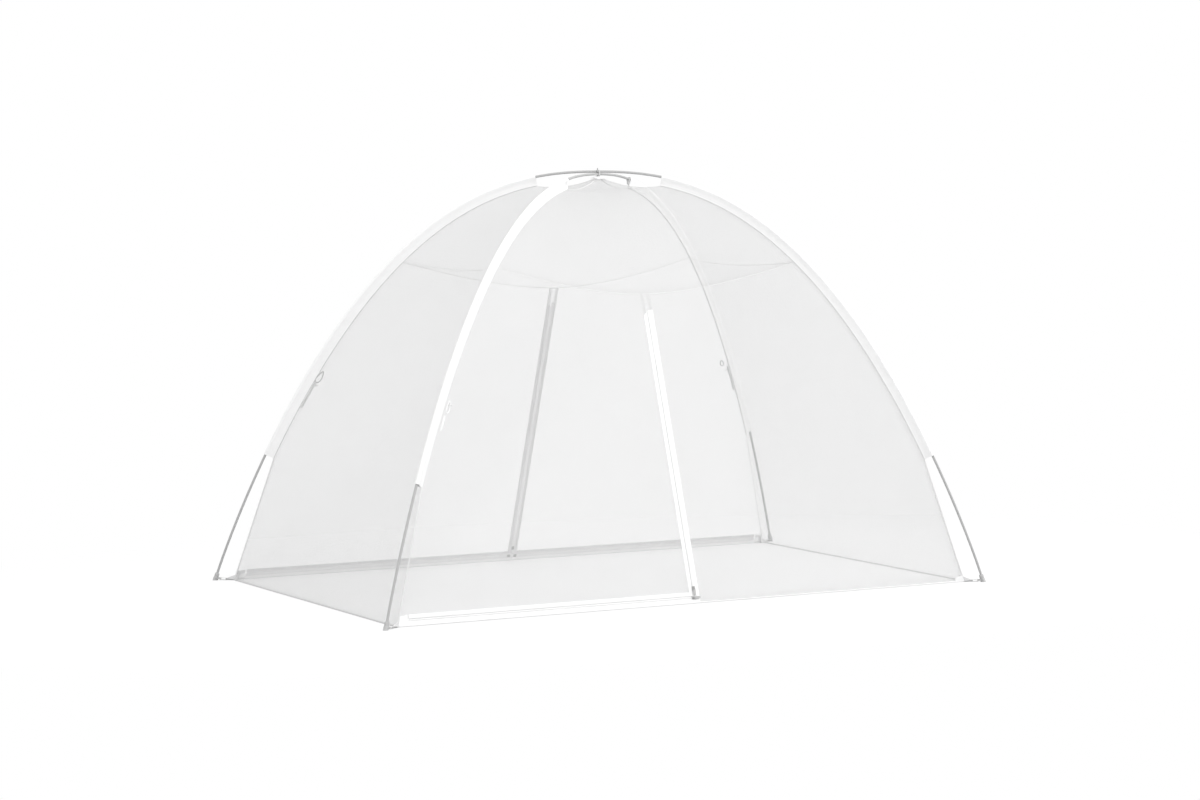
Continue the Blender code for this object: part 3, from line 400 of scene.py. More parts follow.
def swept(name, stations, material, closed=False, caps=True):
    """Skins rings of points; ring i has the same number of points as its neighbours."""
    bm = bmesh.new()
    layer = bm.loops.layers.uv.new("cloth")
    rings = [[bm.verts.new(p) for p in ring] for ring in stations]
    count = len(rings[0])
    along = run_along([sum(ring, Vector()) / count for ring in stations])
    around = run_along(stations[0] + stations[0][:1])
    pairs = [(i, i + 1) for i in range(len(rings) - 1)]
    if closed:
        pairs.append((len(rings) - 1, 0))
        along.append(along[-1] + 0.01)
    for n, (i, k) in enumerate(pairs):
        for j in range(count):
            m = (j + 1) % count
            add_face(bm, layer, (rings[i][j], (along[n], around[j])),
                     (rings[i][m], (along[n], around[j + 1])),
                     (rings[k][m], (along[n + 1], around[j + 1])),
                     (rings[k][j], (along[n + 1], around[j])))
    if caps and not closed:
        bm.faces.new(rings[0])
        bm.faces.new(rings[-1])
    return finish_mesh(name, bm, material)


def ribbon(name, path, normals, sides, width, thickness, material, lift=0.0):
    """A flat band along a path; sides gives the direction across it at each point."""
    rings = []
    for point, normal, side in zip(path, normals, sides):
        half = side * (width / 2)
        low = normal * lift
        high = normal * (lift + thickness)
        edge = side * (thickness * 0.35)
        shoulder = high * 0.8 + low * 0.2
        rings.append([point - half + low, point + half + low, point + half + shoulder,
                      point + half - edge + high, point - half + edge + high,
                      point - half + shoulder])
    return swept(name, rings, material)


STITCH_SHAPE = ((-0.5, 0.25), (-0.3, 0.9), (0.3, 0.9), (0.5, 0.25))
STITCH_SIDES = 5


def stitches(name, path, normal, pitch, length, radius):
    """A row of short threads that lie on a surface along a path."""
    bm = bmesh.new()
    run, goal = 0.0, pitch / 2
    for a, b in zip(path, path[1:]):
        size = (b - a).length
        ahead = (b - a) / size
        across = ahead.cross(normal).normalized()
        while goal <= run + size:
            centre = a + ahead * (goal - run)
            rings = []
            for share, swell in STITCH_SHAPE:
                ring = circle(centre + ahead * (share * length), across, normal,
                              radius * swell, STITCH_SIDES)
                rings.append([bm.verts.new(p) for p in ring])
            for low, high in zip(rings, rings[1:]):
                for k in range(STITCH_SIDES):
                    m = (k + 1) % STITCH_SIDES
                    bm.faces.new((low[k], low[m], high[m], high[k]))
            bm.faces.new(rings[0])
            bm.faces.new(rings[-1])
            goal += pitch
        run += size
    bm.loops.layers.uv.new("cloth")
    return finish_mesh(name, bm, "thread")


# The poles' arches, in their own upright planes

TRACE_STEPS = 4000
DIRECTION_STEPS = 8
SEARCH_STEPS = 40


def arch_height_at(q, top):
    share = min(abs(q) / FOOT_REACH, 1.0) ** ARCH_SPREAD_POWER
    return POLE_FOOT_LIFT + (top - POLE_FOOT_LIFT) * (1 - share) ** (1 / ARCH_CROWN_POWER)


def arch_trace(top):
    """Points from the outer end to the middle, with the run along them."""
    reaches = [FOOT_REACH * (1 - i / TRACE_STEPS) for i in range(TRACE_STEPS + 1)]
    points = [Vector((q, arch_height_at(q, top))) for q in reaches]
    return points, run_along(points)


TRACES = {pole: arch_trace(top) for pole, top in POLE_TOP.items()}


def arch_at(pole, goal):
    """The point and the outward side at a run from the foot, as (reach, height)."""
    points, run = TRACES[pole]
    low = min(max(bisect.bisect_left(run, goal) - 1, 0), len(run) - 2)
    share = (goal - run[low]) / (run[low + 1] - run[low])
    before = points[max(low - DIRECTION_STEPS, 0)]
    after = points[min(low + 1 + DIRECTION_STEPS, len(points) - 1)]
    along = (after - before).normalized()
    return points[low].lerp(points[low + 1], share), Vector((along.y, -along.x))


def run_where(pole, reached):
    """The first run from the foot at which a test on (point, outward) holds."""
    low, high = 0.0, TRACES[pole][1][-1]
    for _ in range(SEARCH_STEPS):
        middle = (low + high) / 2
        if reached(*arch_at(pole, middle)):
            high = middle
        else:
            low = middle
    return high


def out_to_world(corner, reach, height, side=0.0):
    sx, sy = CORNERS[corner]
    dx, dy = DIAGONAL[0] * sx, DIAGONAL[1] * sy
    return Vector((reach * dx - side * dy, reach * dy + side * dx, height))


SLEEVE_RUNS = {}
RING_RUNS = {}
for corner_name, pole_name in CORNER_POLE.items():
    SLEEVE_RUNS[corner_name] = (run_where(pole_name, lambda p, o: p.y >= SLEEVE_START),
                                run_where(pole_name, lambda p, o: p.x <= SLEEVE_MOUTH))
    RING_RUNS[corner_name] = run_where(
        pole_name, lambda p, o: (p - o * SLEEVE_DEPTH).y >= RING_HEIGHT)


# Seams, where the nets are sewn to the sleeves and to each other

FREE_ROWS = 14
SEWN_ROWS = 26
ROOF_ROWS = 18
BARE_ROWS = 8


def sewn_edge(corner, first, last, count):
    """Points on a sleeve's inner edge, as (reach, height)."""
    spots = [arch_at(CORNER_POLE[corner], run) for run in spaced(first, last, count)]
    return [point - outward * SLEEVE_DEPTH for point, outward in spots]


def wall_seam(corner):
    sewn = sewn_edge(corner, SLEEVE_RUNS[corner][0], RING_RUNS[corner], SEWN_ROWS)
    foot = Vector((NET_CORNER_REACH, 0.0))
    free = [foot.lerp(sewn[0], i / FREE_ROWS) for i in range(FREE_ROWS)]
    return [out_to_world(corner, *p) for p in free + sewn]


def roof_seam(corner):
    flat = sewn_edge(corner, RING_RUNS[corner], SLEEVE_RUNS[corner][1], ROOF_ROWS)
    mouth = flat[-1]
    peak = Vector((0.0, PEAK_HEIGHT))
    for share in spaced(0.0, 1 - PEAK_RADIUS * 0.5 / mouth.x, BARE_ROWS)[1:]:
        point = mouth.lerp(peak, share)
        point.y -= PEAK_SAG * share * (1 - share) * 4
        flat.append(point)
    return [out_to_world(corner, *p) for p in flat]


WALL_SEAMS = {corner: wall_seam(corner) for corner in CORNERS}
ROOF_SEAMS = {corner: roof_seam(corner) for corner in CORNERS}


# Nets

NET_THREAD = 0.00012
WALL_BEND = 22
FLAP_COLUMNS = 26
SIDE_COLUMNS = 40
FIRST_ROW = 0.003
FIRST_DOOR_ROW = 0.004
TINY = 1e-6
SLACK_RING = 0.15
SLACK_LOW = 0.12
SLACK_LONG = 0.16
SLACK_SIDE = 0.14
FOLD_FLAT = 0.016
BLEND_REACH = 0.012

FOLD_SCALE = 0.65
PEAK_FLAT = 0.05
DROOP_POWER = 1.5
SHORT_SIDES = ("ab", "cd")

# The face, side and body of the door that is in the net beside a corner
DOORS = {"b": ("front", -1, "front_flap"), "a": ("back", 1, "back_flap_left"),
         "d": ("back", -1, "back_flap_right")}


def plane_place(face):
    """Places (u, v, n) of the front or back zip plane: across, up and outwards."""
    turn = -1 if face == "back" else 1

    def place(u, v, n):
        y = -HALF_Y + v * LEAN_SIN - n * LEAN_COS
        return Vector((turn * u, turn * y, v * LEAN_COS + n * LEAN_SIN))
    return place


def fold_u(z):
    return HALF_X * (1 - z / ZIP_TOP)


def fold_and_bend(corner, seam_point, z_in):
    """How far from the middle a long wall folds, and where it starts to bend outwards."""
    fold = max(NET_ZIP_INSET, fold_u(z_in)) if corner in DOORS else NET_ZIP_INSET
    return fold, min(fold + FLAT_STRIP, (fold + abs(seam_point.x)) / 2)


def wall_point(seam_point, x_in, z_in, share):
    """A point of a long wall between its flat part and its seam."""
    curve = share ** BOW_POWER
    x = x_in + (seam_point.x - x_in) * share
    z = z_in + (seam_point.z - z_in) * curve
    extra = abs(seam_point.y) - (HALF_Y - LONG_WALL_LEAN * seam_point.z)
    y = HALF_Y - LONG_WALL_LEAN * z + extra * curve
    return Vector((x, math.copysign(y, seam_point.y), z))


def bend_row(seam_point, x_in, z_in):
    return [wall_point(seam_point, x_in, z_in, i / WALL_BEND) for i in range(WALL_BEND + 1)]


def soft_folds(u, v, seed, along=1.0):
    """The small slack of a net that hangs from its seams: long, shallow upright folds."""
    broad = noise.noise(Vector((u * 2.3, v * 0.9 * along, seed)))
    fine = noise.noise(Vector((u * 7.5, v * 1.6 * along, seed + 7.3)))
    return 0.0040 * broad + 0.0016 * fine


def long_wall(name, corner, seed):
    """A long wall's net from the zip to the seam, with the door's net in the same sheet."""
    seam = WALL_SEAMS[corner]
    side, back = CORNERS[corner]
    out = Vector((0.0, back * LEAN_COS, LEAN_SIN))
    heights = [p.z * RING_RATIO for p in seam]
    added = [FIRST_DOOR_ROW, DOOR_LOW, ZIP_TOP] if corner in DOORS else [FIRST_ROW]
    entries = list(zip(seam, heights))
    for height in added:
        k, share = bracket(heights, height)
        entries.append((seam[k].lerp(seam[k + 1], share), height))
    entries = sorted((e for e in entries if e[1] >= added[0] - TINY), key=lambda e: e[1])
    rows = []
    for point, z_in in entries:
        fold, bend = fold_and_bend(corner, point, z_in)
        flat = (spaced(NET_ZIP_INSET, fold, FLAP_COLUMNS) if corner in DOORS
                else [NET_ZIP_INSET, bend / 2])
        spots = [wall_point(point, side * x, z_in, 0.0) for x in flat]
        row = []
        for spot in spots + bend_row(point, side * bend, z_in):
            x = abs(spot.x)
            hold = fade(min(abs(x - NET_ZIP_INSET), abs(abs(point.x) - x)), SLACK_LONG)
            hold *= fade(spot.z, SLACK_LOW) * fade(RING_LOW - z_in, SLACK_RING)
            if corner in DOORS:
                off_fold = abs(x / HALF_X + spot.z / ZIP_TOP - 1) * FOLD_SCALE
                hold *= fade(off_fold - FOLD_FLAT, SLACK_LOW)
            place = (spot.x, spot.z / LEAN_COS)
            row.append((spot + out * (soft_folds(*place, seed) * hold), place))
        rows.append(row)

    def under_door(i, j):
        return corner in DOORS and j < FLAP_COLUMNS and entries[i][1] < DOOR_LOW - TINY

    return grid_mesh(name, rows, "net", NET_THREAD, under_door)


def side_wall_point(a, b, share):
    arc = 1 - (2 * share - 1) ** 2
    height = (a.z + b.z) / 2
    point = a.lerp(b, share)
    point.x -= math.copysign(SIDE_WALL_BOW * min(height / (RING_HEIGHT / 2), 1.0) * arc, a.x)
    point.z -= RING_DROOP_SIDE * arc * height / RING_HEIGHT
    return point


def side_wall(name, corners, seed):
    rows = []
    for a, b in zip(*(WALL_SEAMS[corner] for corner in corners)):
        row = []
        for share in shares_of(SIDE_COLUMNS):
            spot = side_wall_point(a, b, share)
            if a.z == 0.0:
                spot.z = FIRST_ROW
            hold = fade(min(share, 1 - share) * (a - b).length, SLACK_SIDE)
            hold *= fade(spot.z, SLACK_LOW) * fade(RING_HEIGHT - a.z, SLACK_RING)
            push = soft_folds(spot.y, spot.z, seed) * hold
            row.append((spot + Vector((math.copysign(push, a.x), 0, 0)), (spot.y, spot.z)))
        rows.append(row)
    return grid_mesh(name, rows, "net", NET_THREAD)


def ring_row(corners):
    """The seam between roof and wall, from one corner to the next."""
    a, b = (ROOF_SEAMS[corner][0] for corner in corners)
    if corners in SHORT_SIDES:
        return [side_wall_point(a, b, share) for share in shares_of(SIDE_COLUMNS)]
    bend = NET_ZIP_INSET + FLAT_STRIP
    first, last = (bend_row(end, math.copysign(bend, end.x), RING_LOW) for end in (a, b))
    return first[::-1] + last


def roof_gore(name, corners, seed):
    a_seam, b_seam = (ROOF_SEAMS[corner] for corner in corners)
    a, b = a_seam[0], b_seam[0]
    base = ring_row(corners)
    if corners in SHORT_SIDES:
        shares = shares_of(SIDE_COLUMNS)
    else:
        shares = [(point.x - a.x) / (b.x - a.x) for point in base]
    droop = [point - a.lerp(b, share) for share, point in zip(shares, base)]
    reach = math.hypot(a.x, a.y)
    slants = run_along([(a + b) / 2 for a, b in zip(a_seam, b_seam)])
    rows = []
    for a, b, slant in zip(a_seam, b_seam, slants):
        near, width = math.hypot(a.x, a.y), (a - b).length
        row = []
        for share, drop in zip(shares, droop):
            across = (share - 0.5) * width
            hold = fade(min(share, 1 - share) * width, SLACK_LOW)
            hold *= fade(reach - near, SLACK_LOW) * fade(near - PEAK_FLAT, SLACK_RING)
            sag = soft_folds(across, slant, seed, 2.0) * hold
            spot = a.lerp(b, share) + drop * (near / reach) ** DROOP_POWER + UP * sag
            row.append((spot, (across, slant)))
        rows.append(row)
    return grid_mesh(name, rows, "net", NET_THREAD)


def fold_blend(obj, face, side, door):
    """Bakes a net's or tape's transform and works out the ends of the door's fold line; it does
    not bend the piece.
    """
    place = plane_place(face)
    slope = math.hypot(HALF_X, PLANE_TOP)
    down_u, down_v = -side * PLANE_TOP / slope, -HALF_X / slope
    start, end = (place(side * HALF_X / 2 + down_u * reach, PLANE_TOP / 2 + down_v * reach,
                        TAPE_OUT) for reach in (-BLEND_REACH, BLEND_REACH))
    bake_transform(obj)
    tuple(start)
    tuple(end)


NETS = {}
for seed, (name, build, corners, node) in enumerate((
        ("net_front_left", long_wall, "b", "front_wall_left"),
        ("net_front_right", long_wall, "c", "front_wall_right"),
        ("net_back_left", long_wall, "a", "back_wall_left"),
        ("net_back_right", long_wall, "d", "back_wall_right"),
        ("net_left", side_wall, "ab", "left_wall"),
        ("net_right", side_wall, "cd", "right_wall"),
        ("net_roof_front", roof_gore, "bc", "roof_front"),
        ("net_roof_back", roof_gore, "ad", "roof_back"),
        ("net_roof_left", roof_gore, "ab", "roof_left"),
        ("net_roof_right", roof_gore, "cd", "roof_right")), 1):
    NETS[name] = build(name, corners, seed)
    door = DOORS.get(corners)
    nodes = (node, door[2]) if door else (node,)
    dress(NETS[name], *nodes, slot="net", door=door)


# Poles: seven tubes each, with a fine bevel where two of them meet

POLE_SECTIONS = 7
POLE_RINGS = 24
POLE_SIDES = 16
JOINT_GAP = 0.00015
JOINT_BEVEL = 0.0005


def arm_ring(corner, point, outward, radius, count, side=0.0, turn=1):
    """Points round a spot on one arm of the cross; side shifts them across the arm."""
    ring = []
    for k in range(count):
        angle = 2 * math.pi * k / count
        reach, height = point + outward * (radius * math.cos(angle))
        ring.append(out_to_world(corner, reach, height, side + turn * radius * math.sin(angle)))
    return ring


def pole_ring(pole, run, radius):
    """A ring round a pole at a run from its first foot."""
    whole = 2 * TRACES[pole][1][-1]
    far = run > whole / 2
    point, outward = arch_at(pole, min(run, whole - run))
    return arm_ring(pole[1] if far else pole[0], point, outward, radius, POLE_SIDES,
                    turn=-1 if far else 1)


def make_pole(pole):
    step = 2 * TRACES[pole][1][-1] / POLE_SECTIONS
    for number in range(POLE_SECTIONS):
        low, high = step * number + JOINT_GAP, step * (number + 1) - JOINT_GAP
        inner = spaced(low + JOINT_BEVEL, high - JOINT_BEVEL, POLE_RINGS)
        places = [(low, POLE_RADIUS - JOINT_BEVEL), *((run, POLE_RADIUS) for run in inner),
                  (high, POLE_RADIUS - JOINT_BEVEL)]
        tube = swept(f"tube_{pole}_{number + 1}",
                     [pole_ring(pole, run, radius) for run, radius in places], "pole")
        dress(tube, f"pole_{pole}_section_{number + 1}", slot="pole")


for pole_name in POLE_TOP:
    make_pole(pole_name)


# Sleeves: a pocket round each pole that narrows to the sewn edge

POCKET_OUT = 0.0064
POCKET_SHIFT = 0.0006
POCKET_WALL = 0.0007
POCKET_ANGLES = (-115, -90, -62, -36, -12, 12, 36, 62, 90, 115)
SLEEVE_STEPS = 110
SLEEVE_SEAM = 0.0212
SEAM_SIDE = 0.0013
SEAM_STITCH = {"pitch": 0.0042, "length": 0.0030, "radius": 0.00030}
HEM_OUT = 0.0005
HEM_PLACES = (0.0, 0.0015, 0.0105, 0.012)
PIPING_RADIUS = 0.0005
PIPING_INSET = 0.0012
PIPING_SIDES = 6
PIPED_SIDES = {"a": (-1, 1), "b": (-1,), "c": (-1, 1), "d": (-1, 1)}
SIDE_LABELS = {-1: "l", 1: "r"}


def sleeve_section(shrink, ripple):
    """The outline round a pole as (outwards, to the side); shrink gives the inside."""
    radius = POCKET_OUT - shrink
    turns = [math.radians(angle) for angle in POCKET_ANGLES]
    points = [(radius * math.cos(turn) - POCKET_SHIFT, radius * math.sin(turn))
              for turn in turns]
    neck = (-0.0105 + shrink, 0.0030 - shrink + ripple)
    flare = (-0.0180 + 2 * shrink, max(0.0012 + ripple - shrink, 0.0004))
    edge = [(-SLEEVE_SEAM, 0.0012), (-SLEEVE_DEPTH, 0.0009), (-SLEEVE_DEPTH, -0.0009),
            (-SLEEVE_SEAM, -0.0012)]
    return points + [neck, flare] + edge * (shrink == 0) + [(flare[0], -flare[1]),
                                                            (neck[0], -neck[1])]


def sleeve_ring(corner, run, shrink, seed):
    point, outward = arch_at(CORNER_POLE[corner], run)
    ripple = 0.0007 * noise.noise(Vector((run * 14.0, seed, 0.0)))
    ring = []
    for out, side in sleeve_section(shrink, ripple):
        wave = 0.0009 * noise.noise(Vector((run * 38.0, side * 180.0, seed + out * 90.0)))
        if out < -0.02:
            wave *= 0.3
        spot = point + outward * (out + wave)
        ring.append(out_to_world(corner, *spot, side + wave))
    return ring


def sleeve_skin(name, corner, runs, shrink, seed, *nodes):
    rings = [sleeve_ring(corner, run, shrink, seed) for run in runs]
    return dress(swept(name, rings, "sleeve", caps=False), *nodes)


def make_sleeve(corner, seed):
    first, last = SLEEVE_RUNS[corner]
    runs = spaced(first, last, SLEEVE_STEPS)
    arch = [arch_at(CORNER_POLE[corner], run) for run in runs]
    sleeve_skin(f"sleeve_{corner}", corner, runs, 0.0, seed, f"pole_sleeve_{corner}")
    lining = sleeve_skin(f"sleeve_lining_{corner}", corner, runs, POCKET_WALL, seed)
    lining.data.flip_normals()
    for sign, label in SIDE_LABELS.items():
        path = [out_to_world(corner, *(point - outward * SLEEVE_SEAM), sign * SEAM_SIDE)
                for point, outward in arch]
        normal = out_to_world(corner, 0.0, 0.0, sign).normalized()
        dress(stitches(f"sleeve_seam_{corner}_{label}", path, normal, **SEAM_STITCH))
    for sign in PIPED_SIDES[corner]:
        rings = [arm_ring(corner, point - outward * (SLEEVE_DEPTH - PIPING_INSET), outward,
                          PIPING_RADIUS, PIPING_SIDES, sign * SEAM_SIDE)
                 for point, outward in arch]
        dress(swept(f"sleeve_piping_{corner}_{SIDE_LABELS[sign]}", rings, "piping"))
    for label, run, turn in (("low", first, 1), ("high", last, -1)):
        sleeve_skin(f"sleeve_hem_{label}_{corner}", corner,
                    [run + turn * d for d in HEM_PLACES], -HEM_OUT, seed)


for number, corner_name in enumerate(CORNERS):
    make_sleeve(corner_name, 20.0 + number)


# Floor, its hem and the corner straps

FLOOR_STEPS = (96, 60)
FLOOR_MIDDLE = 0.0013
CREASE_LIMIT = 0.35
HEM_STEPS = 60
HEM_CORNERS = [Vector((CORNERS[corner][0] * HALF_X, CORNERS[corner][1] * HALF_Y, 0))
               for corner in "bcda"]
HEM_OUTLINE = ((-0.0050, 0.0002), (0.0024, 0.0002), (0.0030, 0.0012), (0.0028, 0.0034),
               (0.0012, 0.0048), (0.0004, 0.0048), (0.0003, 0.0032), (-0.0050, 0.0026))
LUG_BAR_REACH = 1.2133
LUG_HEIGHT = 0.0060
STRAP_OVERLAP = 0.016
STRAP_TURN = 0.0030
STRAP_STEPS = 13


def floor_spot(x, y):
    edge = min(HALF_X - abs(x), HALF_Y - abs(y))
    swell = noise.noise(Vector((x * 3.1, y * 3.1, 40.0)))
    crease = abs(noise.noise(Vector((x * 5.0 + y * 1.4, y * 4.0 - x, 42.0))))
    lift = 0.0026 * max(swell, 0.0) + 0.0030 * max(CREASE_LIMIT - crease, 0.0)
    return Vector((x, y, FLOOR_MIDDLE + fade(edge, 0.08) * lift)), (x, y)


def make_hem(number):
    """A narrow binding that folds round the edge where a wall and the floor meet."""
    a, b = HEM_CORNERS[number], HEM_CORNERS[(number + 1) % 4]
    ahead = (b - a).normalized()
    out = ahead.cross(UP)
    rings = []
    for i in range(HEM_STEPS + 1):
        spot = a.lerp(b, i / HEM_STEPS)
        shift = ahead * (FLOOR_HEM * (2 * i / HEM_STEPS - 1))
        wave = 0.0003 * noise.noise(spot * 9.0)
        ring = []
        for side, up in HEM_OUTLINE:
            inner = up > 0.003 and side < 0.002
            mitre = Vector() if inner else shift * max(side / FLOOR_HEM, -1.7)
            ring.append(spot + mitre + out * (side + wave * (up > 0.001)) + UP * up)
        rings.append(ring)
    return dress(swept(f"floor_hem_{number}", rings, "lining" if number == 0 else "hem"))


def make_strap(corner):
    """Webbing that loops round the cap's bar and is sewn to the floor's corner."""
    bar, end = LUG_BAR_REACH, NET_CORNER_REACH - STRAP_OVERLAP
    shares = shares_of(STRAP_STEPS)
    turns = [math.radians(-90 + 20 * i) for i in range(1, 9)]
    flat = [(end + (bar - end) * s, 0.0010 + 0.0012 * s + 0.0006 * math.sin(s * 14.0) * s)
            for s in shares]
    flat += [(bar + STRAP_TURN * math.cos(turn), LUG_HEIGHT + STRAP_TURN * math.sin(turn))
             for turn in turns]
    flat += [(end + (bar - end) * s,
              0.0024 + 0.0066 * s ** 1.4 + 0.0008 * math.sin(s * 11.0 + 1.0) * s)
             for s in reversed(shares)]
    flat = [Vector(spot) for spot in flat]
    aheads = [heading(flat, i) for i in range(len(flat))]
    path = [out_to_world(corner, *spot) for spot in flat]
    normals = [out_to_world(corner, ahead.y, -ahead.x).normalized() for ahead in aheads]
    sides = [out_to_world(corner, 0.0, 0.0, 1.0).normalized()] * len(flat)
    dress(ribbon(f"foot_strap_{corner}", path, normals, sides, 0.0100, 0.0008, "webbing"))


floor_piece = mapped_sheet("floor_cloth", spaced(-HALF_X, HALF_X, FLOOR_STEPS[0]),
                           spaced(-HALF_Y, HALF_Y, FLOOR_STEPS[1]), floor_spot, "floor", 0.0010)
dress(floor_piece, "floor_with_straps", slot="floor_cloth")
hem_pieces = [make_hem(number) for number in range(4)]
for corner_name in CORNERS:
    make_strap(corner_name)


# Zip tapes, their stitching and coils

FAR = HALF_X - ZIP_END
PATCH_TOP = RING_LOW / LEAN_COS - 0.002
HEAD_OUT = 0.0012
HEAD_SLOT = 0.0063
HEAD_SHARES = (-1.0, -0.68, -0.39, -0.36, 0.0, 0.36, 0.39, 0.68, 1.0)
TAPE_THICK = 0.0008
TAPE_LOW = 0.0022
TAPE_STEP = 0.012
INNER_FACE = -0.7
HALF_TAPE = TAPE_REACH - FLAP_TAPE_START
CARRY = TAPE_REACH + CHAIN_HALF
BASE_MIDDLE = (TAPE_LOW + ZIP_LINE + CHAIN_HALF) / 2
BASE_WIDTH = ZIP_LINE + CHAIN_HALF - TAPE_LOW
FOLD_SLOPE = PLANE_TOP / HALF_X
FLAP_FAR = fold_u((ZIP_LINE + TAPE_REACH) * LEAN_COS) - 0.002
UPPER_START = ZIP_LINE + 0.0065
GUARD_HALF = 0.0058
GUARD_START = ZIP_LINE + GUARD_HALF + 0.001
COIL_PITCH = 0.0014
COIL_LOW = TAPE_OUT + 0.0009
COIL_HIGH = TAPE_OUT + 0.0022
TAPE_STITCH = {"pitch": 0.0036, "length": 0.0026, "radius": 0.00028}
STITCH_OUT = TAPE_OUT + TAPE_THICK
STITCH_INSET = 0.0022
STITCH_EDGE = TAPE_REACH - STITCH_INSET
STITCH_LOW = TAPE_LOW + 0.002
STITCH_END = 0.003


def fold_top(u):
    """How far up its plane a tape at u may reach under the fold line."""
    return PLANE_TOP - FOLD_SLOPE * (u + 0.002)


def plane_ribbon(name, face, a, b, width, material="tape", slant=0.0, thickness=TAPE_THICK,
                 lift=TAPE_OUT):
    """A band in a zip plane whose inward faces take a darker tone, which is painted shade; slant
    tilts its last edge along a fold line.
    """
    place = plane_place(face)
    base = place(0, 0, 0)
    out = place(0, 0, 1) - base
    a, b = Vector(a), Vector(b)
    ahead = (b - a).normalized()
    count = max(int((b - a).length / TAPE_STEP), 1)
    across = [Vector((-ahead.y, ahead.x))] * count
    across.append(across[0] + ahead * slant)
    points = [place(*a.lerp(b, i / count), 0.0) for i in range(count + 1)]
    sides = [place(*side, 0.0) - base for side in across]
    band = ribbon(name, points, [out] * len(points), sides, width, thickness, material, lift)
    # The inward faces take the darker lining tone, which is painted shade.
    band.data.materials.append(MATS["lining" if material == "tape" else material])
    for polygon in band.data.polygons:
        if polygon.normal.dot(out) < INNER_FACE:
            polygon.material_index = 1
    return band


def plane_stitches(name, face, a, b, body="tent"):
    place = plane_place(face)
    points = [place(*spot, STITCH_OUT) for spot in (a, b)]
    out = place(0, 0, 1) - place(0, 0, 0)
    dress(stitches(name, points, out, **TAPE_STITCH), body=body)


def coil(name, face, start, end, along, body="tent"):
    """Two rows of coil turns that lock in the middle."""
    place = plane_place(face)
    count = int((end - start) / (COIL_PITCH / 4))
    foot = COIL_LOW + 0.0005
    rings = []
    for run in spaced(start, end, count):
        right = 0.5 - 0.5 * math.cos(2 * math.pi * (run - start) / COIL_PITCH)
        left = 1 - right
        outline = [(-CHAIN_HALF, COIL_LOW), (CHAIN_HALF, COIL_LOW),
                   (CHAIN_HALF, COIL_LOW + 0.0004),
                   (0.0018, foot + (COIL_HIGH - foot) * right),
                   (0.0003, COIL_HIGH - 0.0006 * left),
                   (-0.0003, COIL_HIGH - 0.0006 * right),
                   (-0.0018, foot + (COIL_HIGH - foot) * left),
                   (-CHAIN_HALF, COIL_LOW + 0.0004)]
        rings.append([place(w, run, n) if along == "up" else place(run, ZIP_LINE + w, n)
                      for w, n in outline])
    dress(swept(name, rings, "coil"), body=body)


def guard(face, along, first, last, body="tent"):
    """The strip behind a coil that closes the slit between its tapes."""
    a, b = (((0.0, run) if along == "up" else (run, ZIP_LINE)) for run in (first, last))
    dress(plane_ribbon(f"{face}_guard_{along}", face, a, b, 2 * GUARD_HALF, "guard",
                       thickness=0.0005, lift=0.0003), body=body)


def zip_head(face, material, *nodes, slot="white_cloth"):
    """The patch between the end of a zip and the roof's seam."""
    place = plane_place(face)

    def spot(across, share):
        u = across * TAPE_REACH
        low = PLANE_TOP if face == "front" and abs(u) < HEAD_SLOT else fold_top(abs(u))
        v = low + (PATCH_TOP - low) * share
        return place(u, v, HEAD_OUT), (u, v)

    dress(mapped_sheet(f"{face}_zip_head", HEAD_SHARES, shares_of(6), spot, material,
                       NET_THREAD), *nodes, slot=slot)


def fixed_front_tape():
    middle = (TAPE_REACH - CHAIN_HALF) / 2
    dress(plane_ribbon("front_tape_fixed", "front", (middle, TAPE_LOW), (middle, PLANE_TOP),
                       CARRY), "front_zip_tape")
    dress(plane_ribbon("front_tape_base", "front", (-FAR, BASE_MIDDLE),
                       (-CHAIN_HALF, BASE_MIDDLE), BASE_WIDTH))
    zip_head("front", "net", slot="net")
    coil("front_coil_up", "front", UPPER_START, PLANE_TOP, "up")
    coil("front_coil_base", "front", -FAR, CHAIN_HALF, "across")
    for label, a, b in (
            ("a", (STITCH_EDGE, 0.006), (STITCH_EDGE, PLANE_TOP - STITCH_END)),
            ("b", (0.0056, 0.03), (0.0056, PLANE_TOP - STITCH_END)),
            ("c", (-FAR + STITCH_END, STITCH_LOW), (-0.004, STITCH_LOW))):
        plane_stitches(f"front_stitch_{label}", "front", a, b)
    guard("front", "across", -FLAP_FAR, -GUARD_HALF)
    guard("front", "up", GUARD_START, PLANE_TOP - 0.008)


def flap_tape(corner, node, carries=False):
    """The L of tape on a door's free edges."""
    face, side, body = DOORS[corner]
    near = -CHAIN_HALF if carries else FLAP_TAPE_START
    middle = (near + TAPE_REACH) / 2
    low = ZIP_LINE + FLAP_TAPE_START
    base = low + HALF_TAPE / 2
    stitch = low + HALF_TAPE - STITCH_INSET
    name = f"{face}_door_tape_{SIDE_LABELS[side]}"
    dress(plane_ribbon(name, face, (side * middle, low), (side * middle, fold_top(middle)),
                       TAPE_REACH - near, slant=side * FOLD_SLOPE), node, door=DOORS[corner])
    dress(plane_ribbon(name + "_base", face, (side * FLAP_FAR, base), (side * TAPE_REACH, base),
                       HALF_TAPE), door=DOORS[corner])
    plane_stitches(name + "_stitch", face, (side * STITCH_EDGE, stitch),
                   (side * STITCH_EDGE, fold_top(STITCH_EDGE) - 0.010), body)
    plane_stitches(name + "_stitch_base", face, (side * (FLAP_FAR - 0.02), stitch),
                   (side * STITCH_EDGE, stitch), body)


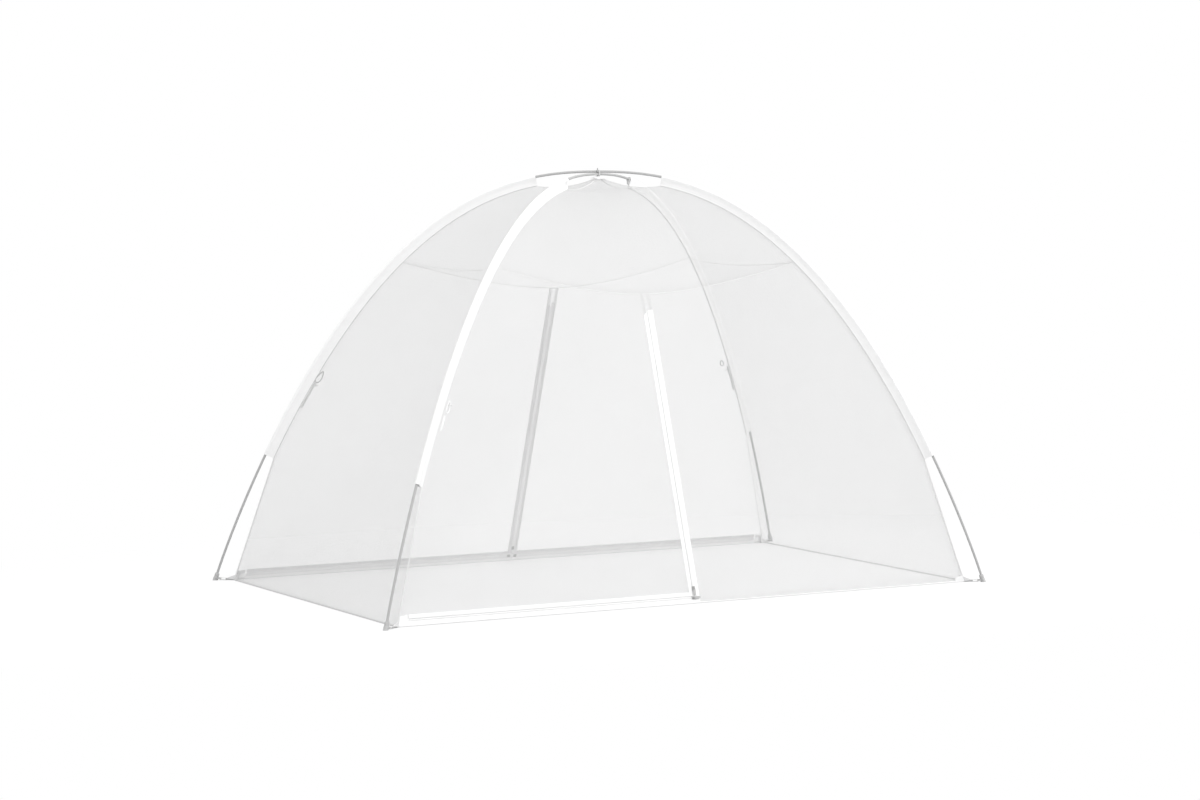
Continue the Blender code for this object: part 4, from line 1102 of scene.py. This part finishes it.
def back_tapes():
    dress(plane_ribbon("back_tape_base", "back", (-FAR, BASE_MIDDLE), (FAR, BASE_MIDDLE),
                       BASE_WIDTH), "back_base_tape")
    zip_head("back", "tape", "back_zip_patch")
    coil("back_coil_base", "back", -FAR, FAR, "across")
    coil("back_coil_up", "back", UPPER_START, fold_top(TAPE_REACH) - 0.020, "up",
         "back_flap_right")
    guard("back", "across", -FLAP_FAR, FLAP_FAR)
    guard("back", "up", GUARD_START, PLANE_TOP - 0.012, "back_flap_right")
    plane_stitches("back_stitch", "back", (-FAR + STITCH_END, STITCH_LOW),
                   (FAR - STITCH_END, STITCH_LOW))


# Patches at the corners

PATCH_LOW = 0.0024
PATCH_OUT = 0.0017
PATCH_PROBE = 0.002
GUSSET_HIGH = 0.0240
GUSSET_END = 0.0062


def wall_spot(corner, x_abs, z_in):
    """A point on a long wall's net, at a distance from the middle and a height."""
    seam = WALL_SEAMS[corner]
    k, share = bracket([p.z for p in seam], z_in / RING_RATIO)
    point = seam[k].lerp(seam[k + 1], share)
    reach = abs(point.x)
    _, bend = fold_and_bend(corner, point, z_in)
    across = max(0.0, (min(x_abs, reach) - bend) / (reach - bend))
    x_in = CORNERS[corner][0] * (bend if across > 0 else x_abs)
    return wall_point(point, x_in, z_in, across), reach


def outwards(corner, normal):
    """A wall's normal, turned to point out of the tent."""
    return -normal if normal.y * CORNERS[corner][1] < 0 else normal


def corner_patch(corner, height_in, height_out, material):
    """Carries the bottom tape on to the floor's corner, sewn on the net."""
    def patch_spot(share, up):
        height = height_in + (height_out - height_in) * share
        z = PATCH_LOW + (height - PATCH_LOW) * up
        x = FAR + (wall_spot(corner, FAR, z)[1] + 0.0015 - FAR) * share
        spot, right, above = (wall_spot(corner, *at)[0] for at in (
            (x, z), (x - PATCH_PROBE, z), (x, z + PATCH_PROBE)))
        out = outwards(corner, (spot - right).cross(above - spot).normalized())
        return spot + out * PATCH_OUT, (x, z)

    dress(mapped_sheet(f"corner_patch_{corner}", shares_of(10), shares_of(5),
                       patch_spot, material, 0.0008))


def corner_gusset(corner):
    """Doubled webbing that draws the four edges of a corner together to its strap."""
    def gusset_spot(share, up):
        low = 0.0012 + 0.0014 * share
        high = GUSSET_HIGH + (GUSSET_END - GUSSET_HIGH) * share ** 0.8
        z = low + (high - low) * up
        reach = NET_CORNER_REACH - 0.012 - 0.24 * z * (1 - share) + 0.040 * share
        return out_to_world(corner, reach, z, 0.0006 * math.sin(9 * share)), (reach, z)

    dress(mapped_sheet(f"corner_gusset_{corner}", shares_of(8), shares_of(4),
                       gusset_spot, "webbing", 0.0012))


# Patches a, c and d take the darker lining tone, which is painted shade; patch b takes the plain
# tape.
for corner_name, patch in (("a", (0.0333, 0.0280, "lining")), ("b", (0.0333, 0.0280, "tape")),
                           ("d", (0.0333, 0.0280, "lining")), ("c", (0.0120, 0.0200, "lining"))):
    corner_patch(corner_name, *patch)
for corner_name in CORNERS:
    corner_gusset(corner_name)

fixed_front_tape()
flap_tape("b", "front_flap_tape")
flap_tape("a", "back_left_flap_tape")
flap_tape("d", "back_right_flap_tape", carries=True)
back_tapes()


# Bindings on the seams between the nets

BINDING_THICK = 0.0009


def seam_binding(name, points, rough_out, width):
    """A narrow tape along a seam, on the side that rough_out points to."""
    normals, sides = [], []
    for i in range(len(points)):
        ahead = heading(points, i)
        out = (rough_out - ahead * rough_out.dot(ahead)).normalized()
        normals.append(out)
        sides.append(ahead.cross(out).normalized())
    dress(ribbon(name, points, normals, sides, width, BINDING_THICK, "binding",
                 -BINDING_THICK / 2))


for corner_name, (sign_x, sign_y) in CORNERS.items():
    free = WALL_SEAMS[corner_name][:FREE_ROWS + 1]
    free[0] = free[0] + UP * 0.004
    across = Vector((-DIAGONAL[1] * sign_y, DIAGONAL[0] * sign_x, 0))
    seam_binding(f"corner_binding_{corner_name}", free, across, 0.0050)
    seam_binding(f"peak_binding_{corner_name}", ROOF_SEAMS[corner_name][ROOF_ROWS:], UP, 0.0040)

for label, corners, rough_out in (("front", "bc", (0, -1, 0.6)), ("back", "ad", (0, 1, 0.6)),
                                  ("left", "ab", (-1, 0, 0.6)), ("right", "cd", (1, 0, 0.6))):
    seam_binding(f"ring_binding_{label}", ring_row(corners), Vector(rough_out), 0.0015)


# Peak: the cap cloth, and the band round the crossing with its ball end

PEAK_CLOTH = ((0.0285, 0.0072), (0.020, 0.0038), (0.011, 0.0014), (0.002, 0.0))
BAND_REACH = 0.0072
BAND_THICK = 0.0012
KNOB_RADIUS = 0.0048
KNOB_SHAPE = ((-1.0, 0.25), (-0.8, 0.62), (-0.35, 0.96), (0.15, 1.0), (0.6, 0.80),
              (0.9, 0.42), (1.25, 0.34), (1.9, 0.30), (2.1, 0.16))


def make_peak():
    rings = []
    for radius, drop in PEAK_CLOTH:
        middle = PEAK_HEIGHT + 0.0022 - drop
        turns = spaced(0.0, 2 * math.pi, 24)[:-1]
        ripple = 0.0005 * radius / PEAK_CLOTH[0][0]
        rings.append([Vector((radius * math.cos(turn), radius * math.sin(turn),
                              middle + ripple * math.sin(4 * turn))) for turn in turns])
    dress(thicken(swept("peak_cloth", rings, "sleeve"), 0.0008, -1.0), "peak_patch")


def make_apex_band():
    """An elastic band over both poles."""
    low = PEAK_HEIGHT + 0.0026
    high = POLE_TOP["ac"] + POLE_RADIUS + 0.0004
    middle = (low + high) / 2
    right = [(BAND_REACH - 0.003, low), (BAND_REACH, low + 0.003), (BAND_REACH - 0.0006, middle),
             (BAND_REACH, high - 0.003), (BAND_REACH - 0.003, high)]
    outline = [(-right[0][0], low)] + right + [(-y, z) for y, z in right[:0:-1]]
    rings = []
    for grow, x in ((0, -0.003), (0, 0.003), (BAND_THICK, 0.0026), (BAND_THICK, -0.0026)):
        ring = []
        for y, z in outline:
            away = Vector((y, z - middle)).normalized() * grow
            ring.append(Vector((x, y + away.x, z + away.y)))
        rings.append(ring)
    dress(swept("apex_band", rings, "elastic", closed=True), "apex_tie", slot="elastic")


def make_knob():
    """The ball end of the band's cord, pulled tight over the crossing."""
    centre = Vector((-0.0062, -0.0050, POLE_TOP["ac"] + 0.0015))
    rings = [circle(centre + UP * (KNOB_RADIUS * share), Vector((1, 0, 0)), Vector((0, 1, 0)),
                    KNOB_RADIUS * swell, 16) for share, swell in KNOB_SHAPE]
    dress(swept("apex_knob", rings, "piping"), slot="elastic")


make_peak()
make_apex_band()
make_knob()


# Tie-backs: a ribbon with a toggle, sewn beside the seam, and an elastic loop above it

TIE_HEIGHT = 0.640
TIE_LENGTH = 0.085
TIE_STEPS = 24
TOGGLE_HALF = 0.011
TOGGLE_RADIUS = 0.0025
TOGGLE_SHAPE = ((-1, 0.35), (-0.94, 0.75), (-0.55, 1.0), (-0.2, 0.82), (0.0, 0.78),
                (0.2, 0.82), (0.55, 1.0), (0.94, 0.75), (1, 0.35))
LOOP_RADIUS = 0.0017
LOOP_STEPS = 40


def seam_spot(corner, height, inset):
    """A point on a long wall beside the seam: point, up, across and outwards."""
    seam = WALL_SEAMS[corner]
    k, share = bracket([p.z for p in seam], height)
    inner = []
    for end in seam[k:k + 2]:
        z_in = end.z * RING_RATIO
        fold, _ = fold_and_bend(corner, end, z_in)
        inner.append(wall_point(end, CORNERS[corner][0] * fold, z_in, 0.9))
    point = seam[k].lerp(seam[k + 1], share)
    up = (seam[k + 1] - seam[k]).normalized()
    across = (inner[0].lerp(inner[1], share) - point).normalized()
    out = outwards(corner, up.cross(across).normalized())
    return point + across * inset, up, across, out


def make_tie(corner, inset, material):
    path, normals, sides = [], [], []
    for share in shares_of(TIE_STEPS):
        spot, _, across, out = seam_spot(corner, TIE_HEIGHT - TIE_LENGTH * share, inset)
        path.append(spot + out * (0.0014 + 0.0008 * math.sin(share * 9.0)))
        normals.append(out)
        sides.append(across)
    dress(ribbon(f"tie_ribbon_{corner}", path, normals, sides, 0.0070, 0.0010, material),
          f"tie_back_{corner}", slot="elastic")
    spot, up, across, out = seam_spot(corner, TIE_HEIGHT - 0.012, inset + 0.003)
    rings = [circle(spot + out * 0.0046 + across * (share * TOGGLE_HALF), up, out,
                    TOGGLE_RADIUS * swell, 12) for share, swell in TOGGLE_SHAPE]
    dress(swept(f"tie_toggle_{corner}", rings, "toggle"), slot="grey_plastic")


def make_tie_loop(corner, top, inset, width, drop, material):
    """An elastic loop that hangs from the seam at the tie's upper end."""
    spot, up, across, out = seam_spot(corner, top, inset)
    rings = []
    for turn in spaced(0.0, 2 * math.pi, LOOP_STEPS)[:-1]:
        sag = (1 - math.cos(turn)) / 2
        spread = math.sin(turn) * (0.35 + 0.65 * sag) * width / 2
        centre = spot + out * (0.0044 + 0.0030 * sag) - up * (drop * sag) + across * spread
        ahead = across * (math.cos(turn) * width) - up * (math.sin(turn) * drop)
        away = ahead.normalized().cross(out).normalized()
        rings.append(circle(centre, out, away, LOOP_RADIUS, 8))
    dress(swept(f"tie_loop_{corner}", rings, material, closed=True), slot="elastic")


# Tie b and its loop take the darker lining tone, and tie d the darker ribbon tone: painted
# shade; tie a is plain tape.
for corner_name, tie, loop in (
        ("a", (0.006, "tape"), (0.672, 0.010, 0.024, 0.042, "elastic")),
        ("b", (0.012, "lining"), (0.638, 0.012, 0.016, 0.040, "lining")),
        ("d", (0.005, "ribbon"), (0.664, 0.022, 0.020, 0.022, "elastic"))):
    make_tie(corner_name, *tie)
    make_tie_loop(corner_name, *loop)


# Better finishes for the solids that stay

FINISHES = {"foot_cap": "plastic", "sleeve_clip": "plastic", "slider": "zip_metal",
            "pull": "zip_metal", "shock_cord": "elastic"}
for name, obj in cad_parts.items():
    for word, kind in FINISHES.items():
        if word in name:
            for place in obj.material_slots:
                place.material = MATS[kind]


# Flat cut size and area of each net

def cut_size(obj):
    """The width and length of a net's flat cut, from its own coordinates, and its area."""
    spots = [loop.uv for loop in obj.data.uv_layers["cloth"].data]
    width = max(s.x for s in spots) - min(s.x for s in spots)
    length = max(s.y for s in spots) - min(s.y for s in spots)
    area = sum(face.area for face in obj.data.polygons) / 2
    return (width, length), min(area, width * length)


RESTS = {"net_front": "floor_hem_0", "net_right": "floor_hem_1", "net_back": "floor_hem_2",
         "net_left": "floor_hem_3", "net_roof": "peak_cloth"}
for start, rest in RESTS.items():
    for name, net in NETS.items():
        if name.startswith(start):
            flat, area = cut_size(net)


# Stage and light

STAGE_NEAR = 1.5
STAGE_FAR = 2.6
LAMP_AIM = Vector((0.0, 0.0, 0.5))
LAMP_SIZE = 4.0


def make_stage():
    """A pale floor that fades into the background away from the tent."""
    t = Tree(bpy.data.materials.new("stage"))
    seen = t.seen_rays()
    away = t.vector("LENGTH", t.vector("MULTIPLY", t.position(), (1.0, 1.6, 0.0)))

    def by_distance(near, far):
        return t.ramp(away, STAGE_NEAR, STAGE_FAR, near, far)

    tone = t.mix(by_distance(0.0, 1.0), grey(0.22), grey(0.0))
    unseen = t.math("MULTIPLY", t.math("SUBTRACT", 1.0, seen), by_distance(0.24, 0.70))
    level = t.math("MULTIPLY", seen, by_distance(0.77, 1.0))
    diffuse = t.node("BsdfDiffuse", tone).outputs[0]
    glow = t.node("Emission", grey(1.0), t.math("ADD", level, unseen)).outputs[0]
    t.feed(t.nodes["Material Output"].inputs["Surface"],
           t.node("AddShader", diffuse, glow).outputs[0])
    bm = bmesh.new()
    bmesh.ops.create_grid(bm, x_segments=8, y_segments=8, size=30.0)
    mesh = bpy.data.meshes.new("stage_floor")
    bm.to_mesh(mesh)
    bm.free()
    mesh.materials.append(t.owner)
    add_object("stage_floor", mesh)


def make_world():
    t = Tree(bpy.data.worlds.new("studio"))
    bpy.context.scene.world = t.owner
    back = t.nodes["Background"]
    t.feed(back.inputs["Color"], grey(1.0))
    t.feed(back.inputs["Strength"], t.ramp(t.seen_rays(), 0.0, 1.0, 0.90, 1.0))


def lamp(name, place, power):
    data = bpy.data.lights.new(name, "AREA")
    data.shape = "DISK"
    data.size = LAMP_SIZE
    data.energy = power
    obj = add_object(name, data)
    obj.location = place
    obj.rotation_euler = (LAMP_AIM - Vector(place)).to_track_quat("-Z", "Y").to_euler()


make_stage()
make_world()
lamp("key", (-4.0, -6.0, 6.5), 200.0)
lamp("fill", (5.0, -4.0, 5.0), 235.0)
bpy.context.scene.view_settings.view_transform = "Standard"
